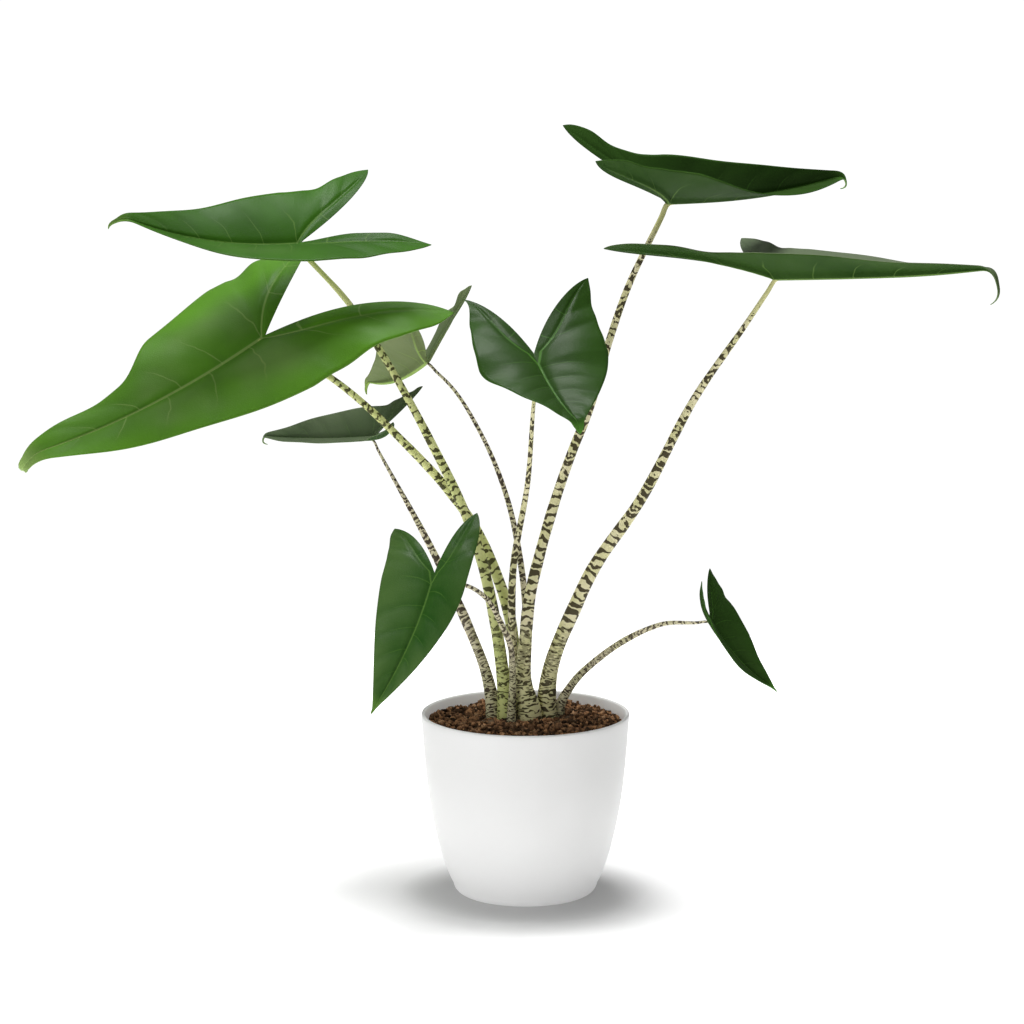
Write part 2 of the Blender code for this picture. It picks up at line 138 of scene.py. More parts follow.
# %% [markdown]
# A `Graph` is a node tree with short names for the nodes that the finishes use again and again. All of
# them come from one method, `node`, which takes a node's type, its settings and what its sockets get.

# %% Graph
class Graph:
    """A node tree that wires can be drawn in."""

    def __init__(self, tree):
        self.tree = tree

    def feed(self, socket, value):
        if isinstance(value, Wire):
            self.tree.links.new(value.socket, socket)
        elif isinstance(value, tuple) and len(value) == 3 and socket.type == "RGBA":
            socket.default_value = (*value, 1.0)
        else:
            socket.default_value = value

    def node(self, kind, settings, sockets, out=0):
        made = self.tree.nodes.new("ShaderNode" + kind)
        for name, value in settings.items():
            setattr(made, name, value)
        for key, value in sockets.items():
            self.feed(made.inputs[key], value)
        return Wire(self, made.outputs[out])

    def axes(self, vector):
        """The X, Y and Z of a vector, as three wires."""
        split = self.node("SeparateXYZ", {}, {0: vector}).socket.node
        return [Wire(self, output) for output in split.outputs]

    def mix(self, share, first, second):
        """A colour part of the way from the first to the second."""
        return self.node("Mix", {"data_type": "RGBA"}, {0: share, 6: first, 7: second}, out=2)

    def places(self):
        """Object coordinates, in metres."""
        return self.node("TexCoord", {}, {}, out=3)

    def uv(self):
        """The piece's own UV map as two numbers."""
        return self.axes(self.node("TexCoord", {}, {}, out=2))[:2]

    def grain(self, scale, detail=3.0, roughness=0.5, where=None, stretch=None):
        """A noise from 0 to 1; stretch squeezes it along X, Y and Z."""
        where = where or self.places()
        if stretch:
            where = self.node("Mapping", {}, {0: where, 3: stretch})
        return self.node("TexNoise", {}, {"Vector": where, "Scale": scale, "Detail": detail,
                                          "Roughness": roughness})

    def raise_by(self, height, distance, strength):
        """A bump of this height field, up to a distance in metres."""
        return self.node("Bump", {}, {"Height": height, "Distance": distance,
                                      "Strength": strength})


print("a graph has:", [name for name in vars(Graph) if not name.startswith("_")])

# %% [markdown]
# A `Finish` is the graph of one material. Blender gives a new material a Principled shader, which can
# be plastic, leaf or soil, so no finish here needs another. `set` feeds its sockets by name.

# %% Finish
class Finish(Graph):
    """One material with a Principled shader."""

    def __init__(self, name, **constants):
        self.material = bpy.data.materials.new(name)
        self.material.use_nodes = True
        super().__init__(self.material.node_tree)
        self.set(**constants)

    def set(self, **inputs):
        shader = self.tree.nodes["Principled BSDF"]
        for name, value in inputs.items():
            self.feed(shader.inputs[name.replace("_", " ")], value)


print("a finish adds:", [name for name in vars(Finish) if not name.startswith("_")])

# %% [markdown]
# ## Putting a piece in place
#
# A finished piece is a mesh whose object sits at the origin, so its place is in its vertices. It rides
# on the frame's one body, gets its materials, and hides the plain node it stands for. Most
# pieces here start as a flat grid whose points are then moved, which keeps faces and chart in step.

# %% Helpers for pieces
def settle(bm, name, materials, stands_for):
    """Turn a bmesh into a smooth-shaded piece that takes the place of a frame node."""
    mesh = bpy.data.meshes.new(name)
    bm.to_mesh(mesh)
    bm.free()
    mesh.shade_smooth()
    for material in materials:
        mesh.materials.append(material)
    piece = bpy.data.objects.new(name, mesh)
    bpy.context.scene.collection.objects.link(piece)
    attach(piece, "root")
    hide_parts(stands_for)
    print(name, len(mesh.polygons), "faces")
    return piece


def ease(share):
    """0 up to 0 and 1 from 1 on, with a soft start and end."""
    share = np.clip(share, 0.0, 1.0)
    return share * share * (3 - 2 * share)


def spread_grid(bm, columns, rows, places, charts, layer):
    """A grid of faces laid over a table of places, with the same table of UV points."""
    grid = bmesh.ops.create_grid(bm, x_segments=columns, y_segments=rows, size=1.0)
    chart_of = {}
    for vert, place, chart in zip(grid["verts"], places.reshape(-1, 3), charts.reshape(-1, 2)):
        vert.co = place
        chart_of[vert] = chart
    faces = {face for vert in grid["verts"] for face in vert.link_faces}
    for face in faces:
        for loop in face.loops:
            loop[layer].uv = chart_of[loop.vert]
    return grid["verts"], list(faces)


print("ease half way:", ease(0.5))

# %% [markdown]
# ## The leaves' own measures
#
# Every leaf follows one pattern, and these measures make it this leaf and no other: where the stalk
# meets the blade, which way the drip tip points, how long and wide blade and lobes are, and how the
# blade folds, cups, droops and twists. Pairs are left and right as seen from the joint towards the
# drip tip. Heights are over the corm's crown. The foot and the bends give the stalk's way to the
# joint, and the girth is its radius at the foot, above the sheath and at the top.

# %% Leaf measures
LEAVES = [
    dict(name="upper_left", joint=(-0.195, 0.030, 0.409), heading=205, pitch=-1, roll=-30,
         length=0.160, width=(0.055, 0.056), lobe=(0.115, 0.121), spread=(24, 40),
         fold=(31, 27), lift=(2, 8), cup=23, droop=-20, twist=-4, curl=60,
         sweep=-0.16, fullness=1.40, foot=(-0.017, -0.006),
         bends=[(-0.021, -0.001, 0.051), (-0.025, 0.002, 0.078), (-0.043, 0.010, 0.154),
                (-0.085, 0.018, 0.246), (-0.126, 0.024, 0.319), (-0.151, 0.027, 0.357)],
         girth=(0.0060, 0.0050, 0.0020)),
    dict(name="big_left", joint=(-0.225, 0.010, 0.330), heading=207, pitch=-30, roll=-30,
         length=0.230, width=(0.082, 0.083), lobe=(0.166, 0.141), spread=(30, 40),
         fold=(21, 18), lift=(-26, -18), cup=39, droop=-11, twist=-14, curl=50,
         sweep=-0.11, fullness=1.15, foot=(-0.010, 0.014),
         bends=[(-0.009, 0.019, 0.029), (-0.016, 0.026, 0.094), (-0.024, 0.028, 0.118),
                (-0.046, 0.030, 0.166), (-0.067, 0.030, 0.195), (-0.109, 0.028, 0.241),
                (-0.137, 0.025, 0.269), (-0.167, 0.021, 0.294)],
         girth=(0.0056, 0.0050, 0.0021)),
    dict(name="pale_back", joint=(-0.087, 0.100, 0.299), heading=118, pitch=-26, roll=-10,
         length=0.115, width=(0.046, 0.043), lobe=(0.088, 0.080), spread=(36, 44),
         fold=(43, 47), lift=(8, -18), cup=0, droop=-25, twist=29, curl=60,
         sweep=0.04, fullness=1.30, foot=(0.002, 0.022),
         bends=[(0.001, 0.024, 0.040), (0.001, 0.028, 0.081), (-0.004, 0.037, 0.129),
                (-0.015, 0.051, 0.181), (-0.040, 0.072, 0.240), (-0.067, 0.090, 0.279)],
         girth=(0.0036, 0.0030, 0.0012)),
    dict(name="small_left", joint=(-0.135, 0.080, 0.234), heading=157, pitch=-6, roll=-28,
         length=0.116, width=(0.033, 0.030), lobe=(0.061, 0.065), spread=(29, 46),
         fold=(40, 41), lift=(35, 12), cup=20, droop=1, twist=-7, curl=60,
         sweep=-0.10, fullness=1.40, foot=(-0.028, 0.003),
         bends=[(-0.032, 0.008, 0.030), (-0.051, 0.019, 0.080), (-0.078, 0.036, 0.135)],
         girth=(0.0052, 0.0042, 0.0010)),
    dict(name="centre_front", joint=(0.011, -0.040, 0.314), heading=-67, pitch=-36, roll=-2,
         length=0.080, width=(0.063, 0.054), lobe=(0.108, 0.097), spread=(40, 23),
         fold=(31, 13), lift=(15, -5), cup=36, droop=-15, twist=-6, curl=40,
         sweep=0.07, fullness=1.45, foot=(-0.004, 0.005),
         bends=[(-0.011, 0.003, 0.068), (-0.011, -0.002, 0.126), (0.002, -0.015, 0.211),
                (0.007, -0.031, 0.282)],
         girth=(0.0040, 0.0034, 0.0013)),
    dict(name="hanging_left", joint=(-0.079, -0.090, 0.136), heading=-111, pitch=-49, roll=-15,
         length=0.126, width=(0.030, 0.043), lobe=(0.079, 0.074), spread=(16, 40),
         fold=(25, 12), lift=(-14, -20), cup=32, droop=-2, twist=-9, curl=15,
         sweep=-0.14, fullness=1.55, foot=(-0.012, -0.018),
         bends=[(-0.011, -0.020, 0.038), (-0.013, -0.028, 0.069), (-0.021, -0.036, 0.091),
                (-0.034, -0.050, 0.116), (-0.052, -0.066, 0.130)],
         girth=(0.0032, 0.0024, 0.0012)),
    dict(name="upper_right", joint=(0.122, 0.030, 0.445), heading=27, pitch=-1, roll=27,
         length=0.184, width=(0.040, 0.054), lobe=(0.111, 0.108), spread=(42, 43),
         fold=(41, 54), lift=(1, -17), cup=-3, droop=-14, twist=32, curl=70,
         sweep=0.05, fullness=1.45, foot=(0.0035, -0.0085),
         bends=[(-0.001, -0.007, 0.026), (0.000, -0.005, 0.070), (0.004, -0.003, 0.109),
                (0.012, -0.001, 0.143), (0.041, 0.006, 0.235), (0.054, 0.009, 0.267),
                (0.070, 0.015, 0.322), (0.087, 0.020, 0.371)],
         girth=(0.0082, 0.0052, 0.0022)),
    dict(name="long_right", joint=(0.210, -0.020, 0.386), heading=-44, pitch=5, roll=-1,
         length=0.235, width=(0.049, 0.036), lobe=(0.106, 0.147), spread=(37, 35),
         fold=(26, 38), lift=(1, -10), cup=4, droop=-2, twist=-9, curl=80,
         sweep=0.01, fullness=1.30, foot=(0.018, 0.001),
         bends=[(0.020, 0.002, 0.034), (0.044, 0.001, 0.101), (0.055, 0.001, 0.125),
                (0.098, -0.002, 0.191), (0.146, -0.008, 0.284), (0.187, -0.015, 0.346)],
         girth=(0.0074, 0.0062, 0.0018)),
    dict(name="small_right", joint=(0.159, -0.030, 0.092), heading=-21, pitch=-56, roll=7,
         length=0.079, width=(0.030, 0.028), lobe=(0.049, 0.047), spread=(33, 31),
         fold=(25, 32), lift=(17, 25), cup=12, droop=-24, twist=18, curl=10,
         sweep=0.09, fullness=1.60, foot=(0.030, 0.007),
         bends=[(0.040, 0.005, 0.028), (0.065, 0.000, 0.054), (0.100, -0.009, 0.078),
                (0.118, -0.015, 0.086)],
         girth=(0.0036, 0.0028, 0.0010)),
]
print(len(LEAVES), "leaves, the longest blade", max(leaf["length"] for leaf in LEAVES), "m")

# %% [markdown]
# ## How a blade gets its shape
#
# An arrow-shaped blade is drawn flat first, one half at a time. Rows run from the rib, or from the
# notch's edge in a lobe, out to the margin, so they lie the way the side veins do. Then the flat half
# is bent: the rib droops and its tip curls, the lobes lift, the halves fold up from the rib and cup
# over. Sculpting would do as well for one leaf, but a formula serves nine.
#
# The nine differ in small things too. Here is what each key means.
#
# - `tail` is the length of the narrow drip tip, its half width where it starts, and the degrees that
#   it hooks down.
# - `web` is how far the skin reaches behind the joint before the lobes part.
# - `waves` is the height of the margin's waves, left and right, and where they start.
# - `lip` is how high a lobe's inner edge rolls up, left and right.
# - `hollow` is the share of its width that the outer part of the blade lacks, left and right.
# - `lobe_full` is how full the outer margin is near a lobe's tip, left and right.

# %% Finer shape of each blade
LOBE_FULL = 0.17
FINER = {
    "upper_left": dict(tail=(0.012, 0.0022, 60), web=0.003, lip=(0.008, 0.000),
                       waves=(0.0008, 0.0012, 1.0)),
    "big_left": dict(tail=(0.016, 0.0060, 105), web=0.004, waves=(0.0020, 0.0025, 2.2),
                     hollow=(0.00, 0.38)),
    "pale_back": dict(tail=(0.008, 0.0012, 60), web=0.002, waves=(0.0015, 0.0015, 0.5)),
    "small_left": dict(tail=(0.008, 0.0010, 90), web=0.001, waves=(0.0008, 0.0008, 3.0)),
    "centre_front": dict(tail=(0.009, 0.0055, 30), web=0.013, waves=(0.0015, 0.0020, 4.0),
                         lobe_full=(0.10, -0.02)),
    "hanging_left": dict(tail=(0.003, 0.0010, 10), web=0.011, waves=(0.0010, 0.0012, 5.0)),
    "upper_right": dict(tail=(0.010, 0.0016, 110), web=0.002, waves=(0.0008, 0.0008, 0.0)),
    "long_right": dict(tail=(0.020, 0.0022, 75), web=0.002, waves=(0.0008, 0.0008, 1.5)),
    "small_right": dict(tail=(0.003, 0.0008, 10), web=0.001, waves=(0.0006, 0.0006, 2.0)),
}
for leaf in LEAVES:
    leaf.update(dict(lip=(0.0, 0.0), hollow=(0.0, 0.0), lobe_full=(LOBE_FULL, LOBE_FULL)))
    leaf.update(FINER[leaf["name"]])
print("longest drip tip", max(leaf["tail"][0] for leaf in LEAVES) * 1000, "mm")

# %% [markdown]
# The outline is a chain: from the drip tip along the swelling front margin, round the shoulder and out
# to the lobe's tip, then back along the notch to the joint. One curve could hold all of it, but lines
# with a meaning of their own are easier to fit to a leaf. The lobe's two edges are Bezier curves, whose
# handles are shares of the lobe's length. The drip tip and the front margin are formulas.

# %% Lines of the outline
LINE_STEPS = 240
TIP_SLENDERNESS = 0.02        # a small value draws the drip tip out thin
TAIL_TAPER = 1.5              # over 1, the drip tip stays wide for longer
HOLLOW_FROM, HOLLOW_TO = 0.32, 0.92   # ends of a hollow in the margin, from joint to tip
HOLLOW_RAMPS = 0.22, 0.30     # how softly it starts and ends


def bezier(start, handle_a, handle_b, end):
    t = np.linspace(0.0, 1.0, LINE_STEPS)[:, None]
    return ((1 - t) ** 3 * start + 3 * (1 - t) ** 2 * t * handle_a
            + 3 * (1 - t) * t ** 2 * handle_b + t ** 3 * end)


def line_shares(line):
    """How far along a line each of its points lies, from 0 to 1."""
    steps = np.linalg.norm(np.diff(line, axis=0), axis=1)
    travelled = np.concatenate([[0.0], np.cumsum(steps)])
    return travelled / travelled[-1]


def points_at(line, shares):
    known = line_shares(line)
    return np.stack([np.interp(shares, known, line[:, axis]) for axis in (0, 1)], axis=1)


def front_margin(leaf, pick):
    """The margin from the end of the drip tip to the shoulder beside the joint."""
    length, width, hollow = leaf["length"], leaf["width"][pick], leaf["hollow"][pick]
    tail, tail_half, _ = leaf["tail"]
    along_tail = np.linspace(1.0, 0.0, LINE_STEPS // 8)[:-1]
    tail_line = np.stack([length + tail * along_tail, tail_half * (1 - along_tail ** TAIL_TAPER)], 1)
    out_of_tip = np.linspace(1.0, 0.0, LINE_STEPS)
    slender = (1 - out_of_tip) / (1 - out_of_tip + TIP_SLENDERNESS) * (1 + TIP_SLENDERNESS)
    swell = (width - tail_half) * (1 - out_of_tip ** leaf["fullness"]) * slender
    swell = swell * (1 - hollow * ease((out_of_tip - HOLLOW_FROM) / HOLLOW_RAMPS[0])
                     * ease((HOLLOW_TO - out_of_tip) / HOLLOW_RAMPS[1]))
    return np.concatenate([tail_line, np.stack([out_of_tip * length, tail_half + swell], 1)])


print("front margin of the first leaf:", len(front_margin(LEAVES[0], 0)), "points")

# %% [markdown]
# A flat half is a table of points, one row for each line from the rib or the notch out to the margin.
# Columns crowd towards the rib, where the blade has most detail.

# %% Flat outline of a half blade
ROWS_FRONT = 84               # from the drip tip to the joint
ROWS_WEB = 3                  # over the web of skin behind the joint
ROWS_LOBE = 48                # down a lobe
COLUMNS = 24
COLUMN_CROWDING = 1.35        # 1 would space the columns evenly
SHOULDER_REACH = 0.45         # how far the margin runs straight on past the joint
LOBE_END = 0.14               # outer handle at a lobe's tip, back along the lobe
SINUS_END = (0.20, 0.12)      # inner handle at a lobe's tip: back along it, and inwards
SINUS_START = (0.33, 8)       # inner handle at the joint: share of the lobe, degrees inwards
RIB_ROW_LEAN = 0.08           # the row at the joint ends this share of the length behind it
COLUMN_SHARES = np.linspace(0.0, 1.0, COLUMNS + 1) ** COLUMN_CROWDING


def flat_half(leaf, pick):
    """Rows of points of a flat half, x to the drip tip and y out from the rib."""
    width, lobe, spread = leaf["width"][pick], leaf["lobe"][pick], leaf["spread"][pick]
    front = front_margin(leaf, pick)
    along = np.array([-cos(radians(spread)), sin(radians(spread))])
    outward = np.array([along[1], -along[0]])
    lobe_tip = lobe * along
    shoulder = np.array([0.0, width])
    outer = bezier(shoulder, shoulder + np.array([-SHOULDER_REACH * lobe, 0.0]),
                   lobe_tip - LOBE_END * lobe_tip + leaf["lobe_full"][pick] * lobe * outward,
                   lobe_tip)
    lean = radians(SINUS_START[1])
    parting = np.array([-leaf["web"], 0.0])
    sinus = bezier(parting,
                   parting + SINUS_START[0] * lobe * (along * cos(lean) - outward * sin(lean)),
                   lobe_tip - SINUS_END[0] * lobe_tip - SINUS_END[1] * lobe * outward, lobe_tip)

    margin = np.concatenate([front, outer[1:]])
    shares = line_shares(margin)
    near = len(front) + LINE_STEPS // 3
    turn = np.interp(RIB_ROW_LEAN * leaf["length"], -margin[:near, 0], shares[:near])
    front_rows = np.linspace(0.0, 1.0, ROWS_FRONT + 1)
    lobe_rows = np.linspace(0.0, 1.0, ROWS_WEB + ROWS_LOBE + 1)[1:]
    outer_ends = points_at(margin, np.concatenate([front_rows * turn,
                                                   turn + (1 - turn) * lobe_rows]))
    rib = np.stack([(leaf["length"] + leaf["tail"][0]) * (1 - front_rows), 0 * front_rows], 1)
    web = np.linspace(0.0, 1.0, ROWS_WEB + 1)[1:, None] * parting
    sinus_rows = np.linspace(0.0, 1.0, ROWS_LOBE + 1)[1:]
    inner_ends = np.concatenate([rib, web, points_at(sinus, sinus_rows)])
    across = COLUMN_SHARES[None, :, None]
    return inner_ends[:, None] * (1 - across) + outer_ends[:, None] * across


print("a flat half:", flat_half(LEAVES[0], 0).shape[:2], "rows and columns of points")

# %% [markdown]
# Bending keeps the blade's real length: the rib and each lobe are followed step by step, and every
# point rides on the nearest place of its line. An armature could bend a drawn blade too, but its
# weights would have to be painted for each leaf.

# %% Bend a half blade
LEFT, RIGHT = 1, -1           # sides of the rib, by the sign of Y in the flat blade
FOLD_FADE = 0.35              # the fold flattens by this share towards the drip tip
DROOP_GATHER = 1.4            # over 1, the droop gathers towards the tip
CURL_START = 0.90             # the drip tip curls down from here
LIFT_END = 0.8                # a lobe lifts over this share of its length
LOBE_TWIST = 0.6              # a lobe's share of the blade's twist
FLATTEST = 0.01               # degrees added to the cup, because the formula divides by it


def bent_line(length, angles):
    """Where a line of a given length goes when it bends by these angles along its way."""
    middle = (angles[1:] + angles[:-1]) / 2
    step = length / len(middle)
    x = np.concatenate([[0.0], np.cumsum(np.cos(middle))]) * step
    z = np.concatenate([[0.0], np.cumsum(np.sin(middle))]) * step
    return x, z


def bend_half(flat, relief, side, leaf, pick):
    """Fold, cup, droop, twist and curl a flat half; relief is height over the bent skin."""
    x, y = flat[..., 0], flat[..., 1]
    length, lobe = leaf["length"], leaf["lobe"][pick]
    tail, _, hook = leaf["tail"]
    reach = 1 + tail / length
    share = np.linspace(0.0, reach, LINE_STEPS)
    rib_angle = -(radians(leaf["droop"]) * np.minimum(share, 1) ** DROOP_GATHER
                  + radians(leaf["curl"]) * ease((share - CURL_START) / (1 - CURL_START))
                  + radians(hook) * ease((share - 1) / (reach - 1)))
    rib_x, rib_z = bent_line(length * reach, rib_angle)
    lobe_share = np.linspace(0.0, 1.0, LINE_STEPS)
    lobe_angle = radians(leaf["lift"][pick]) * ease(lobe_share / LIFT_END)
    lobe_x, lobe_z = bent_line(lobe, lobe_angle)

    ahead = np.clip(x / length, 0.0, reach)
    behind = np.clip(-x / lobe, 0.0, 1.0)
    in_front = x >= 0.0
    line_x = np.where(in_front, np.interp(ahead, share, rib_x),
                      -np.interp(behind, lobe_share, lobe_x))
    line_z = np.where(in_front, np.interp(ahead, share, rib_z),
                      np.interp(behind, lobe_share, lobe_z))
    tilt = np.where(in_front, -np.interp(ahead, share, rib_angle),
                    np.interp(behind, lobe_share, lobe_angle))

    bow = radians(leaf["cup"] + FLATTEST) / leaf["width"][pick]
    rise = radians(leaf["fold"][pick]) * (1 - FOLD_FADE * np.minimum(ahead, 1))
    out = side * (np.sin(rise) - np.sin(rise - bow * y)) / bow
    up = (np.cos(rise - bow * y) - np.cos(rise)) / bow + relief
    turn = radians(leaf["twist"]) * np.where(in_front, ahead, -LOBE_TWIST * behind)
    out, up = out * np.cos(turn) - up * np.sin(turn), out * np.sin(turn) + up * np.cos(turn)
    sideways = leaf["sweep"] * length * ahead ** 2
    return np.stack([line_x + np.sin(tilt) * up, out + sideways,
                     line_z + np.cos(tilt) * up], axis=-1)


print("a metre bent to 30 degrees ends", round(bent_line(1.0, np.radians([0, 15, 30]))[1][-1], 3),
      "m up")

# %% [markdown]
# ## Blade skin
#
# A real blade isn't a smooth sheet. The ribs lie in grooves, the skin swells a little between the side
# veins, and the margin ripples. These reliefs are heights added before the bend. A UV chart goes with
# the grid: U runs 0 to 0.5 from the drip tip to the joint and 0.5 to 1 down the lobes, and V runs
# across, with the rib at 0.5. The finish draws each vein from the formula and the values below that
# shaped the skin, so paint and relief agree.

# %% Veins of a half blade
SIDE_VEINS_FRONT = 6.0        # side veins of a half, from the drip tip to the joint
SIDE_VEINS_LOBE = 3.6
VEIN_LEAN = 1.0               # how far a front vein leans to the drip tip by the margin
LOBE_LEAN = -1.2              # in a lobe the veins lean to the lobe's tip
LEAN_FROM, LEAN_TO = 0.8, 1.3 # where one lean turns into the other, with the joint at 1
VEIN_CURVE = 1.20             # 1 would make the side veins straight
LOBE_RIB_PLACE = 0.36         # where a lobe's rib runs, as a share from notch to margin
LOBE_RIB_TURN = 8.0           # how soon it gets there
LEFT_VEIN_SHIFT = 0.35        # the two halves' veins aren't opposite each other


def chart_half(side):
    """The half's UV chart: U along the blade, V across it with the rib at 0.5."""
    front = np.linspace(0.0, 0.5, ROWS_FRONT + 1)
    lobe = 0.5 + 0.5 * np.linspace(0.0, 1.0, ROWS_WEB + ROWS_LOBE + 1)[1:]
    along = np.concatenate([front, lobe])[:, None]
    return np.stack(np.broadcast_arrays(along, 0.5 + 0.5 * side * COLUMN_SHARES[None, :]), axis=-1)


def off_rib_half(chart):
    """U with the joint at 1, V from the rib, and how far V is from the nearest main rib."""
    u, v = chart[..., 0] * 2, np.abs(chart[..., 1] * 2 - 1)
    return u, v, v - LOBE_RIB_PLACE * (1 - 0.5 ** (LOBE_RIB_TURN * np.maximum(u - 1, 0)))


print("side veins of a blade:", round(2 * (SIDE_VEINS_FRONT + SIDE_VEINS_LOBE)))

# %% [markdown]
# A Displace modifier could raise the skin from a texture, but a texture knows nothing of the veins.
# The relief fades out at the drip tip and at the lobes' tips, where a real blade is plain, and the lip
# rises only behind the joint.

# %% Relief of a half blade
RIB_GROOVE = 0.0012
RIB_GROOVE_WIDTH = 0.0035
QUILTING = 0.0035             # swelling between veins, as a share of the blade's width
RIB_FLAT = 1 / 6              # within this share of the width from a rib, the swelling is less
WAVE_TURNS = 1.3              # waves of the margin between the drip tip and the joint
END_FADE = 0.35               # the relief fades over this much of U at both ends
LIP_RISE = 0.45               # the lip is up this far behind the joint


def relief_half(chart, side, leaf, pick):
    """Height of the skin over its bent sheet: groove, quilting, lip and waves of the margin."""
    u, v, off_rib = off_rib_half(chart)
    width = leaf["width"][pick]
    groove = RIB_GROOVE * np.exp(-(off_rib * width / RIB_GROOVE_WIDTH) ** 2)
    lean = VEIN_LEAN + (LOBE_LEAN - VEIN_LEAN) * ease((u - LEAN_FROM) / (LEAN_TO - LEAN_FROM))
    count = np.where(u <= 1, u * SIDE_VEINS_FRONT, SIDE_VEINS_FRONT + (u - 1) * SIDE_VEINS_LOBE)
    shift = LEFT_VEIN_SHIFT if side == LEFT else 0.0
    swell = -np.cos(tau * (count + lean * np.abs(off_rib) ** VEIN_CURVE + shift))
    quilt = QUILTING * width * swell * np.sin(pi * v) * np.clip(np.abs(off_rib) / RIB_FLAT, 0, 1)
    height, phase = leaf["waves"][pick], leaf["waves"][2]
    turns = tau * WAVE_TURNS * u
    wave = np.sin(turns + phase) + 0.5 * np.sin(2 * turns + 2.3 * phase)
    lobe_end = ease((2.0 - u) / END_FADE)
    lip = leaf["lip"][pick] * ease((u - 1) / LIP_RISE) * lobe_end * (1 - v) ** 2
    return (quilt - groove + height * wave * v ** 2.0) * ease(u / END_FADE) * lobe_end + lip


skin = relief_half(chart_half(LEFT), LEFT, LEAVES[0], 0)
print("relief of", LEAVES[0]["name"], "on the left:", round(np.ptp(skin) * 1000, 1), "mm")

# %% [markdown]
# The bent half still lies in the blade's own frame. Three turns and the joint's place put it in the
# plant. Doing this to the points, and not to the object, leaves the piece at the origin.

# %% A half blade in the plant
def blade_turn(leaf):
    return Euler((radians(leaf["roll"]), radians(-leaf["pitch"]), radians(leaf["heading"])))


def above_crown(point):
    return Vector(point) + Vector((0, 0, CROWN_HEIGHT))


def half_places(leaf, side):
    """Places of a half blade in the plant, with its chart."""
    pick = 0 if side == LEFT else 1
    chart = chart_half(side)
    relief = relief_half(chart, side, leaf, pick)
    bent = bend_half(flat_half(leaf, pick), relief, side, leaf, pick)
    turned = bent @ np.array(blade_turn(leaf).to_matrix()).T
    return turned + np.array(above_crown(leaf["joint"])), chart


def blade_places(leaf):
    """Both halves; where the web joins them behind the joint they share their places."""
    left, left_chart = half_places(leaf, LEFT)
    right, right_chart = half_places(leaf, RIGHT)
    rows = slice(ROWS_FRONT, ROWS_FRONT + ROWS_WEB + 1)
    left[rows, 0] = right[rows, 0] = (left[rows, 0] + right[rows, 0]) / 2
    return {LEFT: (left, left_chart), RIGHT: (right, right_chart)}


highest = max(half_places(leaf, side)[0][..., 2].max() for leaf in LEAVES for side in (LEFT, RIGHT))
print("highest point of the blades:", round(highest * 1000), "mm")

# %% [markdown]
# ## Leaf finish
#
# A healthy blade is deep green with a waxy gloss. Its ribs and side veins are thin and pale, and the
# green is a little lighter away from them. Painting an image would work, but formulas on the chart stay
# sharp at any size and match the relief exactly. First come the masks: 1 on a rib or a vein and 0 off
# it. Both skins share them, because the veins show on the underside too.

# %% Masks of ribs and veins
RIB_SHARE = 0.022             # half width of the rib at the joint, as a share of the blade's
TIP_RIB_SHARE = 0.060         # and where the blade narrows to the drip tip
VEIN_HALF = 0.014             # half width of a side vein, as a share of the veins' spacing
VEIN_OFFSET = 0.42            # slides the painted veins along, into the folds of the relief
VEIN_WAVER = 0.16             # a noise bends each vein by up to this share of the spacing


def vein_masks(finish):
    """U with the joint at 1, V from the rib, masks of ribs and veins, and the way to a vein."""
    chart_u, chart_v = finish.uv()
    u = chart_u * 2
    v = (chart_v * 2 - 1).size()
    past_joint = (u - 1).larger(0)
    off_rib = v - (1 - 0.5 ** (past_joint * LOBE_RIB_TURN)) * LOBE_RIB_PLACE
    lean = u.fade(LEAN_FROM, LEAN_TO) * (LOBE_LEAN - VEIN_LEAN) + VEIN_LEAN
    count = u * SIDE_VEINS_FRONT - past_joint * (SIDE_VEINS_FRONT - SIDE_VEINS_LOBE)
    shift = chart_v.fade(0.4999, 0.5001) * LEFT_VEIN_SHIFT
    waver = finish.grain(60, detail=1) * VEIN_WAVER
    curved = lean * off_rib.size() ** VEIN_CURVE
    to_vein = ((count + curved + shift + waver + VEIN_OFFSET).part() - 0.5).size()
    rib_half = (1 - u).larger(0) ** 3 * (TIP_RIB_SHARE - RIB_SHARE) + RIB_SHARE
    rib = (1 - (off_rib.size() / rib_half).fade(0.55, 1.25)) * (1 - u.fade(1.75, 1.98))
    vein = (1 - to_vein.fade(VEIN_HALF * 0.4, VEIN_HALF * 1.5)) * (1 - v.fade(0.30, 0.75))
    vein = vein * u.fade(0.15, 0.40) * (1 - u.fade(1.5, 1.8))
    return u, v, rib, vein, to_vein


print("a side vein fills", round(VEIN_HALF * 200, 1), "% of the space between veins")

# %% [markdown]
# The finish is laid on like coats of paint, each mixed over the last: clouds of deep and light green,
# a greyish painted sheen in soft patches, fine cells, a pale drip tip and margin, and last the veins
# and ribs. The bump uses the cells and the ribs again, so light catches what the colour shows.

# %% Leaf finish
# Colour of a painted sheen: a pale grey-green laid in soft patches over the green.
PAINTED_SHEEN_COLOUR = (0.30, 0.38, 0.18)
CELLS = 520.0                 # cells of the skin's fine net, per metre


